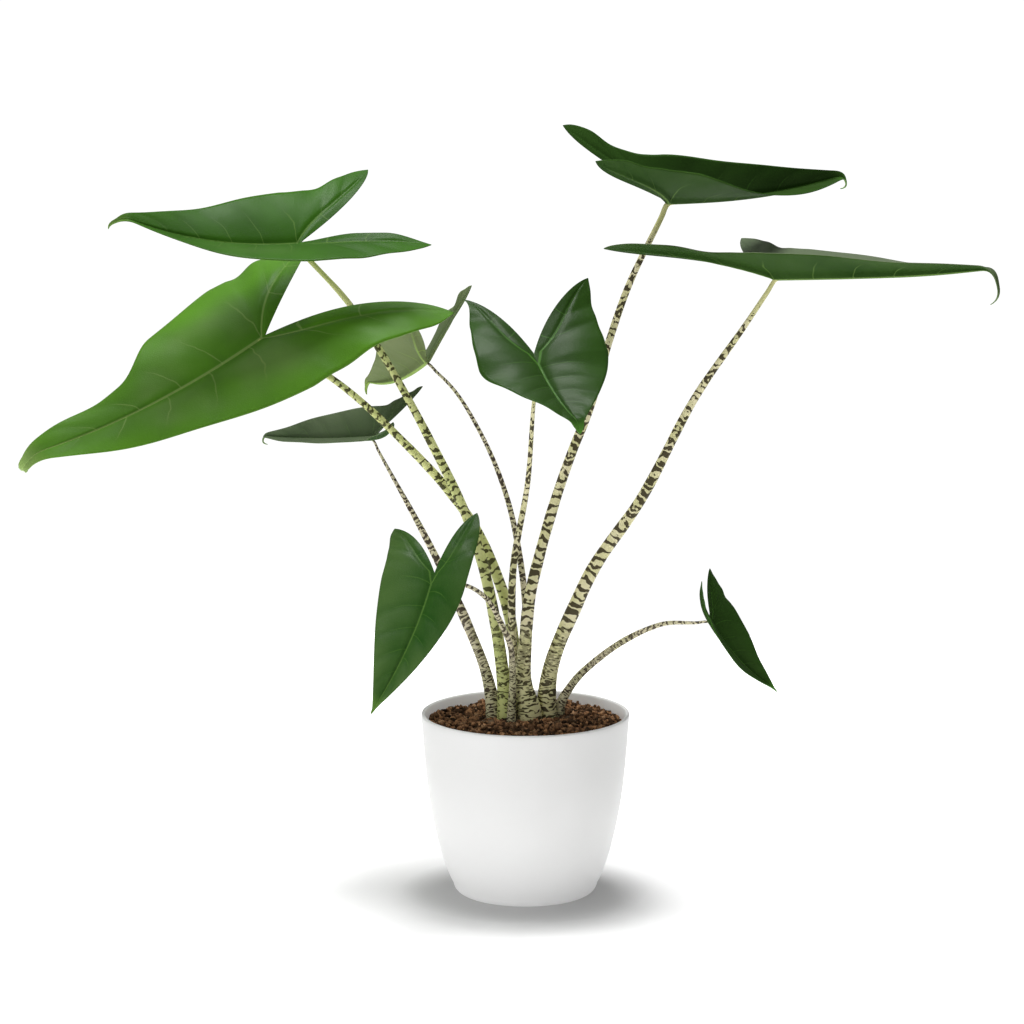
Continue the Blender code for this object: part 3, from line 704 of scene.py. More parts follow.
def make_leaf_finish(name, deep, light, vein_colour, sheen, painted_sheen=0.0, veins=0.6, rough=0.42):
    """A waxy blade; painted_sheen is how strong its patches of painted sheen are, and veins how strong
    its ribs and veins.
    """
    finish = Finish(name, Coat_Weight=sheen, Coat_Roughness=0.28,
                    Specular_IOR_Level=sheen * 1.5 + 0.03)
    u, v, rib, vein, to_vein = vein_masks(finish)
    cloud = finish.grain(13, detail=4, roughness=0.55).fade(0.32, 0.68)
    panel = to_vein.fade(0.0, 0.30)
    green = finish.mix(cloud * 0.50 + v.fade(0.2, 1.0) * 0.35 + panel * 0.15, deep, light)
    # Soft patches of painted sheen on the front of the blade, in a band between rib and margin.
    sheen_patches = finish.grain(9, detail=2).fade(0.36, 0.70) * u.fade(0.10, 0.35) * (1 - u.fade(0.8, 1.2))
    green = finish.mix(sheen_patches * (v.fade(0.05, 0.2) - v.fade(0.5, 0.9)) * painted_sheen, green, PAINTED_SHEEN_COLOUR)
    cells = finish.node("TexVoronoi", {"feature": "DISTANCE_TO_EDGE"},
                        {"Vector": finish.places(), "Scale": CELLS})
    green = finish.mix(cells.fade(0.0, 0.10) * 0.10, green, light)
    green = finish.mix((1 - u.fade(0.02, 0.16)) * 0.85, green, vein_colour)
    green = finish.mix(v.fade(0.982, 0.996) * 0.25, green, vein_colour)
    green = finish.mix(vein * veins * 0.60, green, vein_colour)
    green = finish.mix(rib * veins * (1 - u.fade(0.95, 1.6) * 0.75), green, vein_colour)
    height = cells.fade(0.0, 0.15) * 0.2 + finish.grain(110, detail=3) * 0.5
    height = height + (panel * 0.8 + rib * 0.5) * u.fade(0.06, 0.25) * (1 - u.fade(1.6, 1.9))
    finish.set(Base_Color=green, Roughness=finish.grain(40, detail=3) * 0.16 + (rough - 0.08),
               Normal=finish.raise_by(height, 0.0005, 0.45))
    return finish.material


leaf_finishes = {
    "bright": make_leaf_finish("leaf_bright", (0.070, 0.185, 0.018), (0.105, 0.290, 0.016),
                               (0.34, 0.48, 0.15), sheen=0.04, painted_sheen=0.60),
    "soft": make_leaf_finish("leaf_soft", (0.024, 0.085, 0.005), (0.042, 0.150, 0.006),
                             (0.20, 0.34, 0.08), sheen=0.03, painted_sheen=0.10, veins=0.5),
    "dark": make_leaf_finish("leaf_dark", (0.018, 0.050, 0.006), (0.033, 0.090, 0.012),
                             (0.11, 0.30, 0.04), sheen=0.03, painted_sheen=0.03, veins=0.5, rough=0.38),
    "rich": make_leaf_finish("leaf_rich", (0.006, 0.060, 0.001), (0.075, 0.150, 0.036),
                             (0.14, 0.28, 0.05), sheen=0.03, veins=0.45, rough=0.38),
    # The grey finish greys the green: partly the blades' own tone, partly a painted sheen.
    "grey": make_leaf_finish("leaf_grey_painted_sheen", (0.070, 0.105, 0.050), (0.130, 0.170, 0.095),
                             (0.18, 0.28, 0.10), sheen=0.05, veins=0.35, rough=0.45),
    "pale": make_leaf_finish("leaf_pale", (0.110, 0.160, 0.060), (0.170, 0.230, 0.095),
                             (0.30, 0.46, 0.10), sheen=0.03, rough=0.50),
    "under_bright": make_leaf_finish("underside_bright", (0.070, 0.170, 0.020),
                                     (0.100, 0.230, 0.026), (0.32, 0.46, 0.14), sheen=0.01,
                                     rough=0.50),
    "under_dark": make_leaf_finish("underside_dark", (0.016, 0.050, 0.006),
                                   (0.040, 0.092, 0.016), (0.20, 0.34, 0.08), sheen=0.0,
                                   veins=0.5, rough=0.55),
    "under_pale": make_leaf_finish("underside_pale", (0.135, 0.185, 0.065),
                                   (0.205, 0.260, 0.105), (0.32, 0.50, 0.10), sheen=0.01,
                                   veins=0.7, rough=0.55),
}
print("leaf finishes:", sorted(leaf_finishes))

# %% [markdown]
# ## The nine blades
#
# Each blade is two bent grids welded along the rib. A Solidify modifier then makes the sheet as thick
# as a leaf, thicker along the rib, where the stalk's tissue runs on. Its second material slot gives the
# underside its own finish. Growing the thickness downwards keeps the upper skin where the formula put
# it. A vertex group holds how much of the rib's thickness each point has.

# %% Thickness of a blade
BLADE_THICKNESS = 0.0007
RIB_THICKNESS = 0.0030
RIB_REACH = 0.0045            # how far from the rib the blade is thicker


def rib_weights(leaf):
    """How much of the rib's thickness each point has, 1 on the rib, left half first."""
    weights = []
    for side, width in zip((LEFT, RIGHT), leaf["width"]):
        u, _, off_rib = off_rib_half(chart_half(side))
        near = np.exp(-(off_rib * width / RIB_REACH) ** 2)
        weights.append(near * ease(u / 0.5) * ease((2 - u) / 0.9))
    return np.concatenate([half.reshape(-1) for half in weights])


def thicken(blade):
    blade.vertex_groups.new(name="rib")
    skin = blade.modifiers.new("Thickness", "SOLIDIFY")
    skin.thickness = RIB_THICKNESS
    skin.offset = -1.0
    skin.vertex_group = "rib"
    skin.thickness_vertex_group = BLADE_THICKNESS / RIB_THICKNESS
    skin.material_offset = 1


print("blade", BLADE_THICKNESS * 1000, "mm thick, with its rib", RIB_THICKNESS * 1000, "mm")

# %% [markdown]
# Now all nine are made in one loop. Leaves of different ages differ in green, so a table gives a blade
# its upper and its lower finish; the grey one is partly a painted sheen. Those that it leaves out are
# dark.

# %% Blades
WELD = 0.00002                # points nearer than this become one
BLADE_FINISH = {
    "upper_left": ("soft", "under_bright"),
    "big_left": ("bright", "under_bright"),
    "pale_back": ("pale", "under_pale"),
    "small_left": ("grey", "under_dark"),
    "hanging_left": ("rich", "under_dark"),
    "long_right": ("grey", "under_dark"),
}


def make_blade(leaf):
    bm = bmesh.new()
    chart_layer = bm.loops.layers.uv.new("chart")
    group = bm.verts.layers.deform.new()
    placed = []
    for side, (places, charts) in blade_places(leaf).items():
        verts, faces = spread_grid(bm, COLUMNS, len(places) - 1, places, charts, chart_layer)
        placed.extend(verts)
        if side == RIGHT:
            bmesh.ops.reverse_faces(bm, faces=faces)
    for vert, weight in zip(placed, rib_weights(leaf)):
        vert[group][0] = float(weight)
    bmesh.ops.remove_doubles(bm, verts=bm.verts, dist=WELD)
    top, under = BLADE_FINISH.get(leaf["name"], ("dark", "under_dark"))
    blade = settle(bm, "blade_" + leaf["name"], (leaf_finishes[top], leaf_finishes[under]),
                   "leaf_" + leaf["name"])
    thicken(blade)


for leaf in LEAVES:
    make_blade(leaf)

# %% [markdown]
# ## Stalk finish
#
# The stalks are the plant's mark: pale, with dark, jagged tiger bands that break and fork. A sine wave
# along the stalk, pushed back and forth by noise, makes such bands, and a second noise tears their
# edges. Round the stalk the noise is read on a ring, so the pattern has no seam. The chart's U goes
# round the stalk and V runs down from the blade, so the bands follow every bend.

# %% Bands
CHART_LENGTH = 0.70           # metres of stalk in the whole height of the chart


def bands(finish, where, along, period, push, tear, level):
    """1 in the dark bands: a pushed and torn wave, cut off at a level."""
    pushed = (finish.grain(1.2 / period, detail=1, where=where) - 0.5) * push
    torn = (finish.grain(1.5 / period, detail=2, roughness=0.55, where=where) - 0.5) * tear
    wave = ((along / period + pushed) * tau).sine()
    return (wave + torn - level).fade(-0.25, 0.25)


print("one height of the chart holds", CHART_LENGTH * 1000, "mm of stalk")

# %% [markdown]
# Near the blade the bands fade into plain green, over the length that `bare` gives. Near the soil,
# where old sheaths wrap the stalk, they turn into a finer, greener mottling. So there are two sets of
# bands, and the height over the crown mixes them.

# %% Stalk finish
SHEATH_MARKED = 0.075         # the mottling of the sheath ends about this high over the crown


def make_stalk_finish(name, pale, dark, green, ring, period, level, bare, seed):
    """A banded stalk; ring is the radius the noise is read on, and level thins the bands."""
    finish = Finish(name, Specular_IOR_Level=0.12)
    chart_u, chart_v = finish.uv()
    angle = chart_u * tau
    along = chart_v * CHART_LENGTH
    where = finish.node("CombineXYZ", {}, {0: angle.cosine() * ring, 1: angle.sine() * ring,
                                           2: along + seed})
    over_crown = finish.axes(finish.places())[2] - CROWN_HEIGHT
    low = 1 - over_crown.fade(SHEATH_MARKED * 0.3, SHEATH_MARKED * 1.3)
    plain = 1 - along.fade(bare * 0.3, bare)
    coarse = bands(finish, where, along, period, push=2.2, tear=4.8, level=plain * 2.2 + level)
    fine = bands(finish, where, along, period * 0.60, push=3.2, tear=6.0, level=level + 0.20)
    cloud = finish.grain(55, detail=3).fade(0.3, 0.7)
    ground = finish.mix(cloud * 0.45, pale, green)
    ground = finish.mix(low * 0.30 + plain * 0.55, ground, green)
    mask = coarse * (1 - low) + fine * low
    streak = finish.grain(700, detail=2)
    colour = finish.mix(mask * 0.94, ground, dark)
    colour = finish.mix(streak.fade(0.5, 0.8) * 0.12, colour, dark)
    finish.set(Base_Color=colour, Roughness=0.38 + mask * 0.12 + streak * 0.06,
               Normal=finish.raise_by(streak * 0.5 + mask * 0.3, 0.0004, 0.5))
    return finish.material


stalk_finishes = {
    "yellow": make_stalk_finish("stalk_yellow", (0.66, 0.68, 0.30), (0.045, 0.042, 0.012),
                                (0.44, 0.52, 0.14), ring=0.0034, period=0.0082, level=0.40,
                                bare=0.10, seed=0.0),
    "cream": make_stalk_finish("stalk_cream", (0.84, 0.78, 0.50), (0.034, 0.024, 0.008),
                               (0.52, 0.54, 0.17), ring=0.0034, period=0.0076, level=0.05,
                               bare=0.07, seed=2.0),
    "thin": make_stalk_finish("stalk_thin", (0.76, 0.68, 0.50), (0.034, 0.021, 0.014),
                              (0.42, 0.45, 0.18), ring=0.0022, period=0.0056, level=0.00,
                              bare=0.02, seed=4.0),
}
print("stalk finishes:", sorted(stalk_finishes))

# %% [markdown]
# ## The nine stalks
#
# A stalk swells at its sheath, tapers and leans, and at the top it turns into the blade's rib. Its
# route is one smooth curve through the leaf's bends. A curve object with a bevel would follow the route
# too, but it gives no say in how the chart wraps, and the bands need that.

# %% Route of a stalk
STALK_STEP = 0.003
STALK_UPRIGHT = 0.008         # the foot stands straight up this far
ROOTED = 0.007                # and starts this far under the crown, hidden by the soil
RIB_RUN = 0.014               # the stalk's top runs on under the rib for this far
TURN_IN = 0.012               # the turn into the rib starts this far below the joint
RIB_SINK = 0.0034             # and lies this far under the blade's upper skin


def smooth_route(knots):
    """Close-set points on one smooth curve through the knots."""
    spans = [(end - start).length for start, end in zip(knots, knots[1:])]
    slopes = [(end - start) / span for start, end, span in zip(knots, knots[1:], spans)]
    tangents = [(slope_in * span_out + slope_out * span_in) / (span_in + span_out)
                for slope_in, slope_out, span_in, span_out
                in zip(slopes, slopes[1:], spans, spans[1:])]
    tangents = [slopes[0]] + tangents + [slopes[-1]]
    fine = []
    for i, span in enumerate(spans):
        pieces = ceil(span / STALK_STEP)
        for t in (step / pieces for step in range(pieces)):
            fine.append((2 * t ** 3 - 3 * t ** 2 + 1) * knots[i]
                        + (t ** 3 - 2 * t ** 2 + t) * span * tangents[i]
                        + (3 * t ** 2 - 2 * t ** 3) * knots[i + 1]
                        + (t ** 3 - t ** 2) * span * tangents[i + 1])
    return fine + [knots[-1]]


def stalk_route(leaf):
    x, y = leaf["foot"]
    knots = [Vector((x, y, CROWN_HEIGHT - ROOTED)), Vector((x, y, CROWN_HEIGHT + STALK_UPRIGHT))]
    knots += [above_crown(point) for point in leaf["bends"]]
    turn = blade_turn(leaf).to_matrix()
    joint = above_crown(leaf["joint"]) - RIB_SINK * (turn @ Vector((0, 0, 1)))
    knots += [joint + TURN_IN * (knots[-1] - joint).normalized(), joint]
    rib_end = joint + RIB_RUN * (turn @ Vector((1, 0, 0)))
    return np.array(smooth_route(knots + [rib_end]))


def lengths_along(route):
    """How far along a route each of its points lies, in metres."""
    return np.concatenate([[0.0], np.cumsum(np.linalg.norm(np.diff(route, axis=0), axis=1))])


for leaf in LEAVES:
    print("stalk", leaf["name"], round(lengths_along(stalk_route(leaf))[-1] * 1000), "mm long")

# %% [markdown]
# A grid is wrapped round the route, ring by ring, and its seam is welded. Each ring lies across the
# route. Carrying one sideways direction along, and squaring it to the route at every point, keeps the
# rings from twisting. The end rings shrink to a point, which closes the tube.

# %% Rings of a stalk
STALK_SIDES = 28
SHEATH_LENGTH = 0.100
FOOT_FLARE = 0.30             # old sheaths widen a stalk's foot by this share
FLARE_LENGTH = 0.055
RIB_NARROWING = 0.65          # the top loses this share of its radius under the rib
STALK_UNEVEN = 0.06           # and a noise makes the radius uneven by up to this share
UNEVEN_LUMPS = 45             # with this many lumps per metre
UNEVEN_LINES = 900            # and a line of its own for each radius of foot


def stalk_radii(leaf, travelled):
    """Radius at each point of the route, with the sheath's swelling and closed ends."""
    foot, neck, top = leaf["girth"]
    total = travelled[-1] - RIB_RUN
    sheath = foot + (neck - foot) * ease(travelled / SHEATH_LENGTH)
    upper = neck + (top - neck) * np.clip((travelled - SHEATH_LENGTH) / (total - SHEATH_LENGTH), 0, 1)
    radii = np.where(travelled < SHEATH_LENGTH, sheath, upper)
    radii = radii * (1 - RIB_NARROWING * ease((travelled - total) / RIB_RUN))
    uneven = [noise.noise(Vector((way * UNEVEN_LUMPS, foot * UNEVEN_LINES, 0)))
              for way in travelled]
    radii = radii * (1 + STALK_UNEVEN * np.array(uneven))
    radii = radii * (1 + FOOT_FLARE * (1 - ease(travelled / FLARE_LENGTH)))
    radii[0] = radii[-1] = 0.0
    return radii


def ring_places(route, radii):
    """Places of rings round a route: one row for each point, closed on itself."""
    tangents = np.gradient(route, axis=0)
    tangents /= np.linalg.norm(tangents, axis=1)[:, None]
    aside = np.array([0.0, 1.0, 0.0])
    angles = np.linspace(0.0, tau, STALK_SIDES + 1)[:, None]
    rows = []
    for place, tangent, radius in zip(route, tangents, radii):
        aside = aside - tangent * aside.dot(tangent)
        aside /= np.linalg.norm(aside)
        across = np.cross(tangent, aside)
        rows.append(place + radius * (np.cos(angles) * aside + np.sin(angles) * across))
    return np.array(rows)


thickest = max(stalk_radii(leaf, lengths_along(stalk_route(leaf))).max() for leaf in LEAVES)
print("thickest stalk foot:", round(thickest * 2000, 1), "mm")

# %% [markdown]
# The stalks come in three finishes: yellowish under the two bright leaves on the left, cream under the
# big dark ones, and with a finer pattern on the thin stalks.

# %% Stalks
STALK_FINISH = {"upper_left": "yellow", "big_left": "yellow", "centre_front": "cream",
                "upper_right": "cream", "long_right": "cream"}

for leaf in LEAVES:
    route = stalk_route(leaf)
    travelled = lengths_along(route)
    left_to_go = travelled[-1] - travelled
    chart = np.stack(np.meshgrid(np.linspace(0, 1, STALK_SIDES + 1), left_to_go / CHART_LENGTH), -1)
    bm = bmesh.new()
    layer = bm.loops.layers.uv.new("chart")
    rings = ring_places(route, stalk_radii(leaf, travelled))
    spread_grid(bm, STALK_SIDES, len(route) - 1, rings, chart, layer)
    bmesh.ops.remove_doubles(bm, verts=bm.verts, dist=WELD)
    bmesh.ops.recalc_face_normals(bm, faces=bm.faces)
    finish = stalk_finishes[STALK_FINISH.get(leaf["name"], "thin")]
    settle(bm, "stalk_" + leaf["name"], (finish,), "petiole_" + leaf["name"])

# %% [markdown]
# ## Planter
#
# The planter is one moulded shell with a rounded rim and a gently swelling side. It could be cut from
# a cylinder with loop cuts and scaling. A turned shape is quicker as a profile spun round its axis, so
# the profile is drawn as a chain of points from the middle of the floor, up inside, over the rim and
# down to the foot. The same helpers turn the soil later.

# %% Helpers for turned shapes
POT_FOOT_RADIUS = 0.0625
POT_BELLY = 0.0074            # how far the side swells past a straight cone
POT_BELLY_PLACE = 0.75        # under 1, the swelling sits below the middle
POT_FOOT_ROUNDING = 0.0075
TURN_STEPS = 192
SIDE_POINTS = 32
ROUNDING_POINTS = 8


def pot_radius(height):
    share = max(0.0, (height - POT_FOOT_ROUNDING) / (POT_HEIGHT - POT_FOOT_ROUNDING))
    cone = POT_FOOT_RADIUS + (POT_RIM_RADIUS - POT_FOOT_RADIUS) * share
    return cone + POT_BELLY * sin(pi * share ** POT_BELLY_PLACE)


def round_corner(centre_r, centre_z, radius, start, end):
    angles = [radians(start + (end - start) * i / ROUNDING_POINTS)
              for i in range(ROUNDING_POINTS + 1)]
    return [(centre_r + radius * cos(a), centre_z + radius * sin(a)) for a in angles]


def steps_between(low, high, count):
    return [low + (high - low) * i / count for i in range(count + 1)]


def spin_profile(profile):
    """Turn an (r, z) profile, which starts and ends on the axis, into a closed skin."""
    bm = bmesh.new()
    points = [bm.verts.new((r, 0.0, z)) for r, z in profile]
    edges = [bm.edges.new(pair) for pair in zip(points, points[1:])]
    bmesh.ops.spin(bm, geom=points + edges, cent=(0, 0, 0), axis=(0, 0, 1), angle=tau,
                   steps=TURN_STEPS, use_merge=True)
    bmesh.ops.remove_doubles(bm, verts=bm.verts, dist=WELD)
    bmesh.ops.recalc_face_normals(bm, faces=bm.faces)
    return bm


print("planter", round(pot_radius(POT_HEIGHT / 2) * 2000), "mm across half way up")

# %% [markdown]
# The finish is plain plastic: satin, almost white, with a faint grain from the mould. Daylight passes
# through so thin a wall. Subsurface gives a little of that, but a wall lit from behind needs many light
# paths to show it. So light is painted on as a glow: a faint one inside under the rim stands in for
# the light through the wall, and one outside near the foot lifts the shaded lower side.

# %% Planter finish
POT_WALL = 0.0032
BLACK, WHITE = (0.0, 0.0, 0.0), (1.0, 1.0, 1.0)
INNER_GLOW = 0.14             # strength of the glow inside, under the rim
INNER_GLOW_FROM, INNER_GLOW_TO = 0.030, 0.015   # it starts and is full this far below the rim
LOW_GLOW = 0.20               # strength of the glow at the foot
LOW_GLOW_HEIGHT = 0.13        # and how high it reaches


def make_planter_finish():
    """White plastic; painted light glows inside under the rim and near the foot, where the wall is in
    shade.
    """
    finish = Finish("planter_white", IOR=1.46, Subsurface_Weight=0.30, Subsurface_Scale=0.004,
                    Subsurface_Radius=(1.0, 1.0, 1.0), Emission_Strength=1.0)
    x, y, up = finish.axes(finish.places())
    from_axis = (x * x + y * y) ** 0.5
    within = 1 - from_axis.fade(POT_RIM_RADIUS - POT_WALL, POT_RIM_RADIUS - POT_WALL / 2)
    inside = up.fade(POT_HEIGHT - INNER_GLOW_FROM, POT_HEIGHT - INNER_GLOW_TO) * within
    # Painted light: a glow inside under the rim and a glow near the foot.
    painted_glow = inside * INNER_GLOW + (1 - up.fade(0.0, LOW_GLOW_HEIGHT)) * LOW_GLOW
    cloud = finish.grain(9, detail=3)
    grain = finish.grain(2600, detail=2)
    finish.set(Emission_Color=finish.mix(painted_glow, BLACK, WHITE),
               Base_Color=finish.mix(cloud.fade(0.3, 0.7), (0.800, 0.800, 0.795),
                                     (0.775, 0.775, 0.768)),
               Roughness=0.38 + cloud * 0.06 + grain * 0.05,
               Normal=finish.raise_by(grain, 0.00006, 0.5))
    return finish.material


planter_finish = make_planter_finish()
print("planter finish:", planter_finish.name)

# %% [markdown]
# The inner line keeps one wall's distance from the outer one, and the rim between them is half a
# circle, so its radius is half the wall.

# %% Planter
POT_FLOOR = 0.0040
rim_round = POT_WALL / 2
rim_low = POT_HEIGHT - rim_round
hollow_rounding = POT_FOOT_ROUNDING - POT_WALL / 2
hollow_low = POT_FLOOR + hollow_rounding
profile = [(0.0, POT_FLOOR)]
profile += round_corner(pot_radius(hollow_low) - POT_WALL - hollow_rounding, hollow_low,
                        hollow_rounding, -90, 0)
profile += [(pot_radius(z) - POT_WALL, z)
            for z in steps_between(hollow_low, rim_low, SIDE_POINTS)[1:-1]]
profile += round_corner(pot_radius(rim_low) - rim_round, rim_low, rim_round, 180, 0)
profile += [(pot_radius(z), z)
            for z in steps_between(rim_low, POT_FOOT_ROUNDING, SIDE_POINTS)[1:-1]]
profile += round_corner(POT_FOOT_RADIUS - POT_FOOT_ROUNDING, POT_FOOT_ROUNDING,
                        POT_FOOT_ROUNDING, 0, -90)
profile.append((0.0, 0.0))
settle(spin_profile(profile), "planter_shell", (planter_finish,), "planter")

# %% [markdown]
# ## Soil
#
# Potting soil is a low mound of peat crumbs with some bark. A bumpy sheet alone looks like mud, and
# loose crumbs alone leave holes. So there are both: a spun mound, roughened with noise, that fills the
# planter, and a crust of small crumbs and chips scattered on it. They share one finish. On the mound
# its tone comes from noise, and on the crumbs from the UV chart, where each keeps one random point.

# %% Soil finish
SOIL_DARK = (0.030, 0.016, 0.008)


def make_soil_finish(name, by_tone):
    finish = Finish(name, Specular_IOR_Level=0.1)
    lump = finish.grain(620, detail=5, roughness=0.65)
    if by_tone:
        tone, red = finish.uv()
    else:
        tone = finish.grain(60).fade(0.35, 0.7) * 0.6
        red = finish.grain(240).fade(0.5, 0.8)
    colour = finish.mix(tone ** 1.6, SOIL_DARK, (0.540, 0.280, 0.135))
    colour = finish.mix(red.fade(0.80, 1.0) * 0.8, colour, (0.550, 0.330, 0.180))
    colour = finish.mix(lump.fade(0.40, 0.62) * 0.55, colour, SOIL_DARK)
    finish.set(Base_Color=colour, Roughness=0.80 + lump * 0.2,
               Normal=finish.raise_by(lump, 0.0010, 1.0))
    return finish.material


peat_finish = make_soil_finish("soil_peat", by_tone=False)
crumb_finish = make_soil_finish("soil_crumb", by_tone=True)
print("soil finishes:", peat_finish.name, "and", crumb_finish.name)

# %% [markdown]
# The mound's profile follows the planter's inner line at a small gap, so the two never touch. After the
# spin, every point of its top is raised by the noise. A Displace modifier with a texture could do that
# too, but the crumbs have to know the same heights to lie on it, and a function gives them.

# %% Soil mound
SOIL_BELOW_RIM = 0.0105
SOIL_MOUND = 0.0055           # how much higher the middle is than the edge
SOIL_GAP = 0.0004
SOIL_RINGS = 70
SOIL_SIDE_FROM = 4            # the side starts this many steps below the top, clear of its lumps
SOIL_ROUGHNESS = 0.0034
SOIL_BROAD, SOIL_FINE = 42, 170   # noise lumps per metre, broad and fine
SOIL_EDGE_HEIGHT = POT_HEIGHT - SOIL_BELOW_RIM


def soil_height(x, y):
    """Height of the roughened mound over a point of the planter's floor."""
    share = min(1.0, sqrt(x * x + y * y) / SOIL_RADIUS)
    broad = noise.noise(Vector((x * SOIL_BROAD, y * SOIL_BROAD, 3.0)))
    fine = noise.fractal(Vector((x * SOIL_FINE, y * SOIL_FINE, 9.0)), 0.6, 2.1, 4)
    lumps = 0.9 * broad + 0.7 * fine
    return SOIL_EDGE_HEIGHT + SOIL_MOUND * (1 - share ** 2) + SOIL_ROUGHNESS * lumps


def soil_radius(height):
    return pot_radius(height) - POT_WALL - SOIL_GAP


side_low = POT_FLOOR + SOIL_GAP + hollow_rounding
profile = [(r, SOIL_EDGE_HEIGHT)
           for r in steps_between(0.0, soil_radius(SOIL_EDGE_HEIGHT), SOIL_RINGS)]
profile += [(soil_radius(z), z)
            for z in steps_between(SOIL_EDGE_HEIGHT, side_low, SIDE_POINTS)[SOIL_SIDE_FROM:-1]]
profile += round_corner(soil_radius(side_low) - hollow_rounding, side_low, hollow_rounding, 0, -90)
profile.append((0.0, POT_FLOOR + SOIL_GAP))
bm = spin_profile(profile)
for vert in bm.verts:
    if vert.co.z > SOIL_EDGE_HEIGHT - WELD:
        vert.co.z = soil_height(vert.co.x, vert.co.y)
settle(bm, "soil_mound", (peat_finish,), "soil")

# %% [markdown]
# Crumbs are small icospheres and bark chips are flattened cubes, both with their corners pushed about.
# A scatter of instances would be lighter, but thousands of crumbs with a few faces each are light
# enough, and in one mesh no two have to be alike. The seed makes every run scatter them the same way.

# %% Soil crumbs and bark
CRUMBS = 2400
CHIPS = 900
CRUMB_SIZE = (0.0008, 0.0030)
CRUMB_SIDES = (0.6, 1.1)      # a crumb's half sides, as shares of its half size
CHIP_SIZE = (0.0018, 0.0070)
CHIP_WIDTH = (0.35, 0.8)      # a chip's width and depth, as shares of its length
CHIP_DEPTH = (0.18, 0.4)
CHIP_TILT = 0.7               # radians, the spread of a chip's tilt
CORNER_PUSH = (0.60, 1.35)
PROUD = 0.35                  # the middle lies this share of the half size over the mound
EDGE_CLEARANCE = 0.003


def crumb_shape(bm, chance):
    verts = bmesh.ops.create_icosphere(bm, subdivisions=1, radius=1.0)["verts"]
    half = chance.uniform(CRUMB_SIZE[0] ** 0.5, CRUMB_SIZE[1] ** 0.5) ** 2
    sizes = half * Vector([chance.uniform(*CRUMB_SIDES) for _ in range(3)])
    return verts, half, sizes, Euler([chance.uniform(0, tau) for _ in range(3)])


def chip_shape(bm, chance):
    verts = bmesh.ops.create_cube(bm, size=2.0)["verts"]
    half = chance.uniform(*CHIP_SIZE) / 2
    sizes = Vector((half, half * chance.uniform(*CHIP_WIDTH), half * chance.uniform(*CHIP_DEPTH)))
    return verts, half, sizes, Euler((chance.gauss(0, CHIP_TILT), chance.gauss(0, CHIP_TILT),
                                      chance.uniform(0, tau)))


def scatter_place(chance):
    """A random point on the mound, as likely anywhere on it."""
    reach = (SOIL_RADIUS - EDGE_CLEARANCE) * sqrt(chance.random())
    angle = tau * chance.random()
    x, y = reach * cos(angle), reach * sin(angle)
    return Vector((x, y, soil_height(x, y)))


def add_crumb(bm, layer, chance, shape):
    """One crumb or flat chip, turned at random and given one tone."""
    verts, half, sizes, turn = shape(bm, chance)
    turn = turn.to_matrix()
    place = scatter_place(chance) + Vector((0, 0, half * PROUD))
    tone = (chance.random(), chance.random())
    for vert in verts:
        push = Vector([chance.uniform(*CORNER_PUSH) for _ in range(3)])
        vert.co = place + turn @ (vert.co * push * sizes)
    for face in {face for vert in verts for face in vert.link_faces}:
        for loop in face.loops:
            loop[layer].uv = tone


chance = random.Random(11)
bm = bmesh.new()
layer = bm.loops.layers.uv.new("tone")
for shape, count in ((crumb_shape, CRUMBS), (chip_shape, CHIPS)):
    for _ in range(count):
        add_crumb(bm, layer, chance, shape)
settle(bm, "soil_crumbs", (crumb_finish,), "soil")

# %% [markdown]
# ## Corm
#
# The corm is the swollen stem that the stalks grow from. Nearly all of it is under the soil, so its
# frame node stays and only gets a finish: brown, fibrous skin, ringed by old leaf scars.

# %% Corm finish
def make_corm_finish():
    finish = Finish("corm_skin")
    rings = finish.grain(260, detail=4, stretch=(0.25, 0.25, 1.6))
    spots = finish.grain(90, detail=4)
    colour = finish.mix(rings.fade(0.3, 0.7), (0.060, 0.032, 0.016), (0.190, 0.115, 0.058))
    colour = finish.mix(spots.fade(0.5, 0.75) * 0.5, colour, (0.030, 0.017, 0.010))
    finish.set(Base_Color=colour, Roughness=0.75 + rings * 0.2,
               Normal=finish.raise_by(rings + spots * 0.5, 0.0006, 0.8))
    return finish.material


corm_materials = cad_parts["corm"].data.materials
corm_materials.clear()
corm_materials.append(make_corm_finish())
print("corm finish:", corm_materials[0].name)

# %% [markdown]
# ## Floor
#
# The plant stands on a wide white floor that runs out into a white world. A lit backdrop sweeps up
# behind a product in a studio, and it takes large lamps of its own. Here the floor glows by itself away
# from the planter instead, so a shadow is left only close to the foot.

# %% Floor
FLOOR_RADIUS = 1.1
GLOW_FROM, GLOW_TO = 0.083, 0.234     # the glow starts and is full this far from the axis
GLOW_LEAST, GLOW_GAIN = 0.01, 0.85
# Within this reach of the axis the floor's colour greys: a painted shadow round the planter's foot.
SHADE_FROM, SHADE_TO = 0.065, 0.12    # the floor is greyer within
floor_finish = Finish("floor_white", Roughness=0.9, Emission_Strength=1.0)
reach = floor_finish.node("VectorMath", {"operation": "LENGTH"}, {0: floor_finish.places()}, out=1)
glow = reach.fade(GLOW_FROM, GLOW_TO) * GLOW_GAIN + GLOW_LEAST
floor_finish.set(Base_Color=floor_finish.mix(reach.fade(SHADE_FROM, SHADE_TO), (0.70, 0.70, 0.70),
                                             (0.96, 0.96, 0.96)),
                 Emission_Color=floor_finish.mix(glow, BLACK, WHITE))
bm = bmesh.new()
bmesh.ops.create_circle(bm, cap_ends=True, segments=96, radius=FLOOR_RADIUS)
floor_mesh = bpy.data.meshes.new("floor")
bm.to_mesh(floor_mesh)
bm.free()
floor_mesh.materials.append(floor_finish.material)
floor = bpy.data.objects.new("floor", floor_mesh)
bpy.context.scene.collection.objects.link(floor)
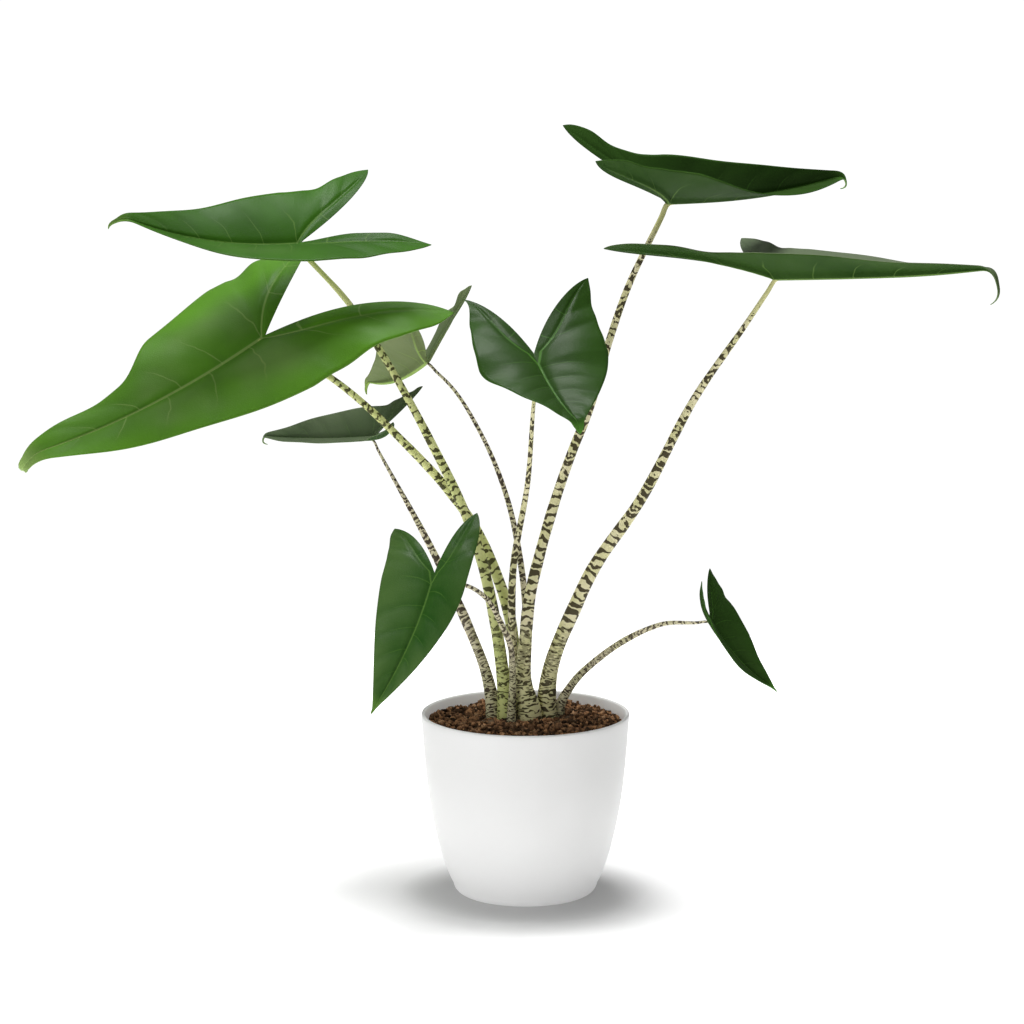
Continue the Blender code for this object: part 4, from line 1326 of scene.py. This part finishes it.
print("floor", FLOOR_RADIUS * 2, "m across")

# %% [markdown]
# ## World and lamps
#
# The world lights the plant softly from all round, and is dimmer on the right, which shades the
# planter's right side. Rays that come straight from the camera see plain white instead. A `Graph` holds
# the world's nodes, as it does a material's. Two soft lamps do the rest: a broad one overhead, and a
# low one in front on the left.

# %% World
WORLD_DIM, WORLD_BRIGHT = 0.19, 0.38
DIM_SIDE, BRIGHT_SIDE = 0.9, -0.7     # X of the direction where each is reached
WORLD_SEEN = 1.05
world = bpy.data.worlds.new("studio")
bpy.context.scene.world = world
world.use_nodes = True
sky = Graph(world.node_tree)
side = sky.axes(sky.node("TexCoord", {}, {}, out=0))[0]
light = sky.node("MapRange", {}, {0: side, 1: DIM_SIDE, 2: BRIGHT_SIDE, 3: WORLD_DIM,
                                  4: WORLD_BRIGHT})
seen = sky.node("LightPath", {}, {}, out=0)
background = sky.tree.nodes["Background"]
sky.feed(background.inputs["Color"], WHITE)
sky.feed(background.inputs["Strength"], sky.node("Mix", {}, {0: seen, 2: light, 3: WORLD_SEEN}))
print("world strength from", WORLD_DIM, "to", WORLD_BRIGHT)


# %% Lamps
def hang_lamp(name, place, aim, size, power):
    data = bpy.data.lights.new(name, "AREA")
    data.shape = "DISK"
    data.size = size
    data.energy = power
    lamp = bpy.data.objects.new(name, data)
    lamp.location = place
    lamp.rotation_euler = (Vector(aim) - Vector(place)).to_track_quat("-Z", "Y").to_euler()
    bpy.context.scene.collection.objects.link(lamp)
    print(name, "lamp:", size, "m across,", power, "W")


hang_lamp("overhead", place=(-0.05, 0.30, 2.2), aim=(0, 0, 0), size=0.8, power=31)
hang_lamp("key", place=(-1.7, -2.4, 0.30), aim=(0, 0, 0.25), size=1.3, power=17.5)

# %% [markdown]
# ## Camera
#
# The camera looks slightly down through a long lens from three metres off, so the leaves keep their
# true proportions. The standard view transform keeps white white, where the default one would grey it.

# %% Camera
CAMERA_PLACE = (-0.0116, -3.0, 0.86)
CAMERA_PITCH = 80.05          # degrees up from straight down
CAMERA_LENS = 125.0
camera_data = bpy.data.cameras.new("camera")
camera_data.lens = CAMERA_LENS
camera = bpy.data.objects.new("camera", camera_data)
camera.location = CAMERA_PLACE
camera.rotation_euler = (radians(CAMERA_PITCH), 0, 0)
bpy.context.scene.collection.objects.link(camera)
bpy.context.scene.camera = camera
bpy.context.scene.view_settings.view_transform = "Standard"
print("camera lens", camera_data.lens, "mm on a sensor of", camera_data.sensor_width, "mm")
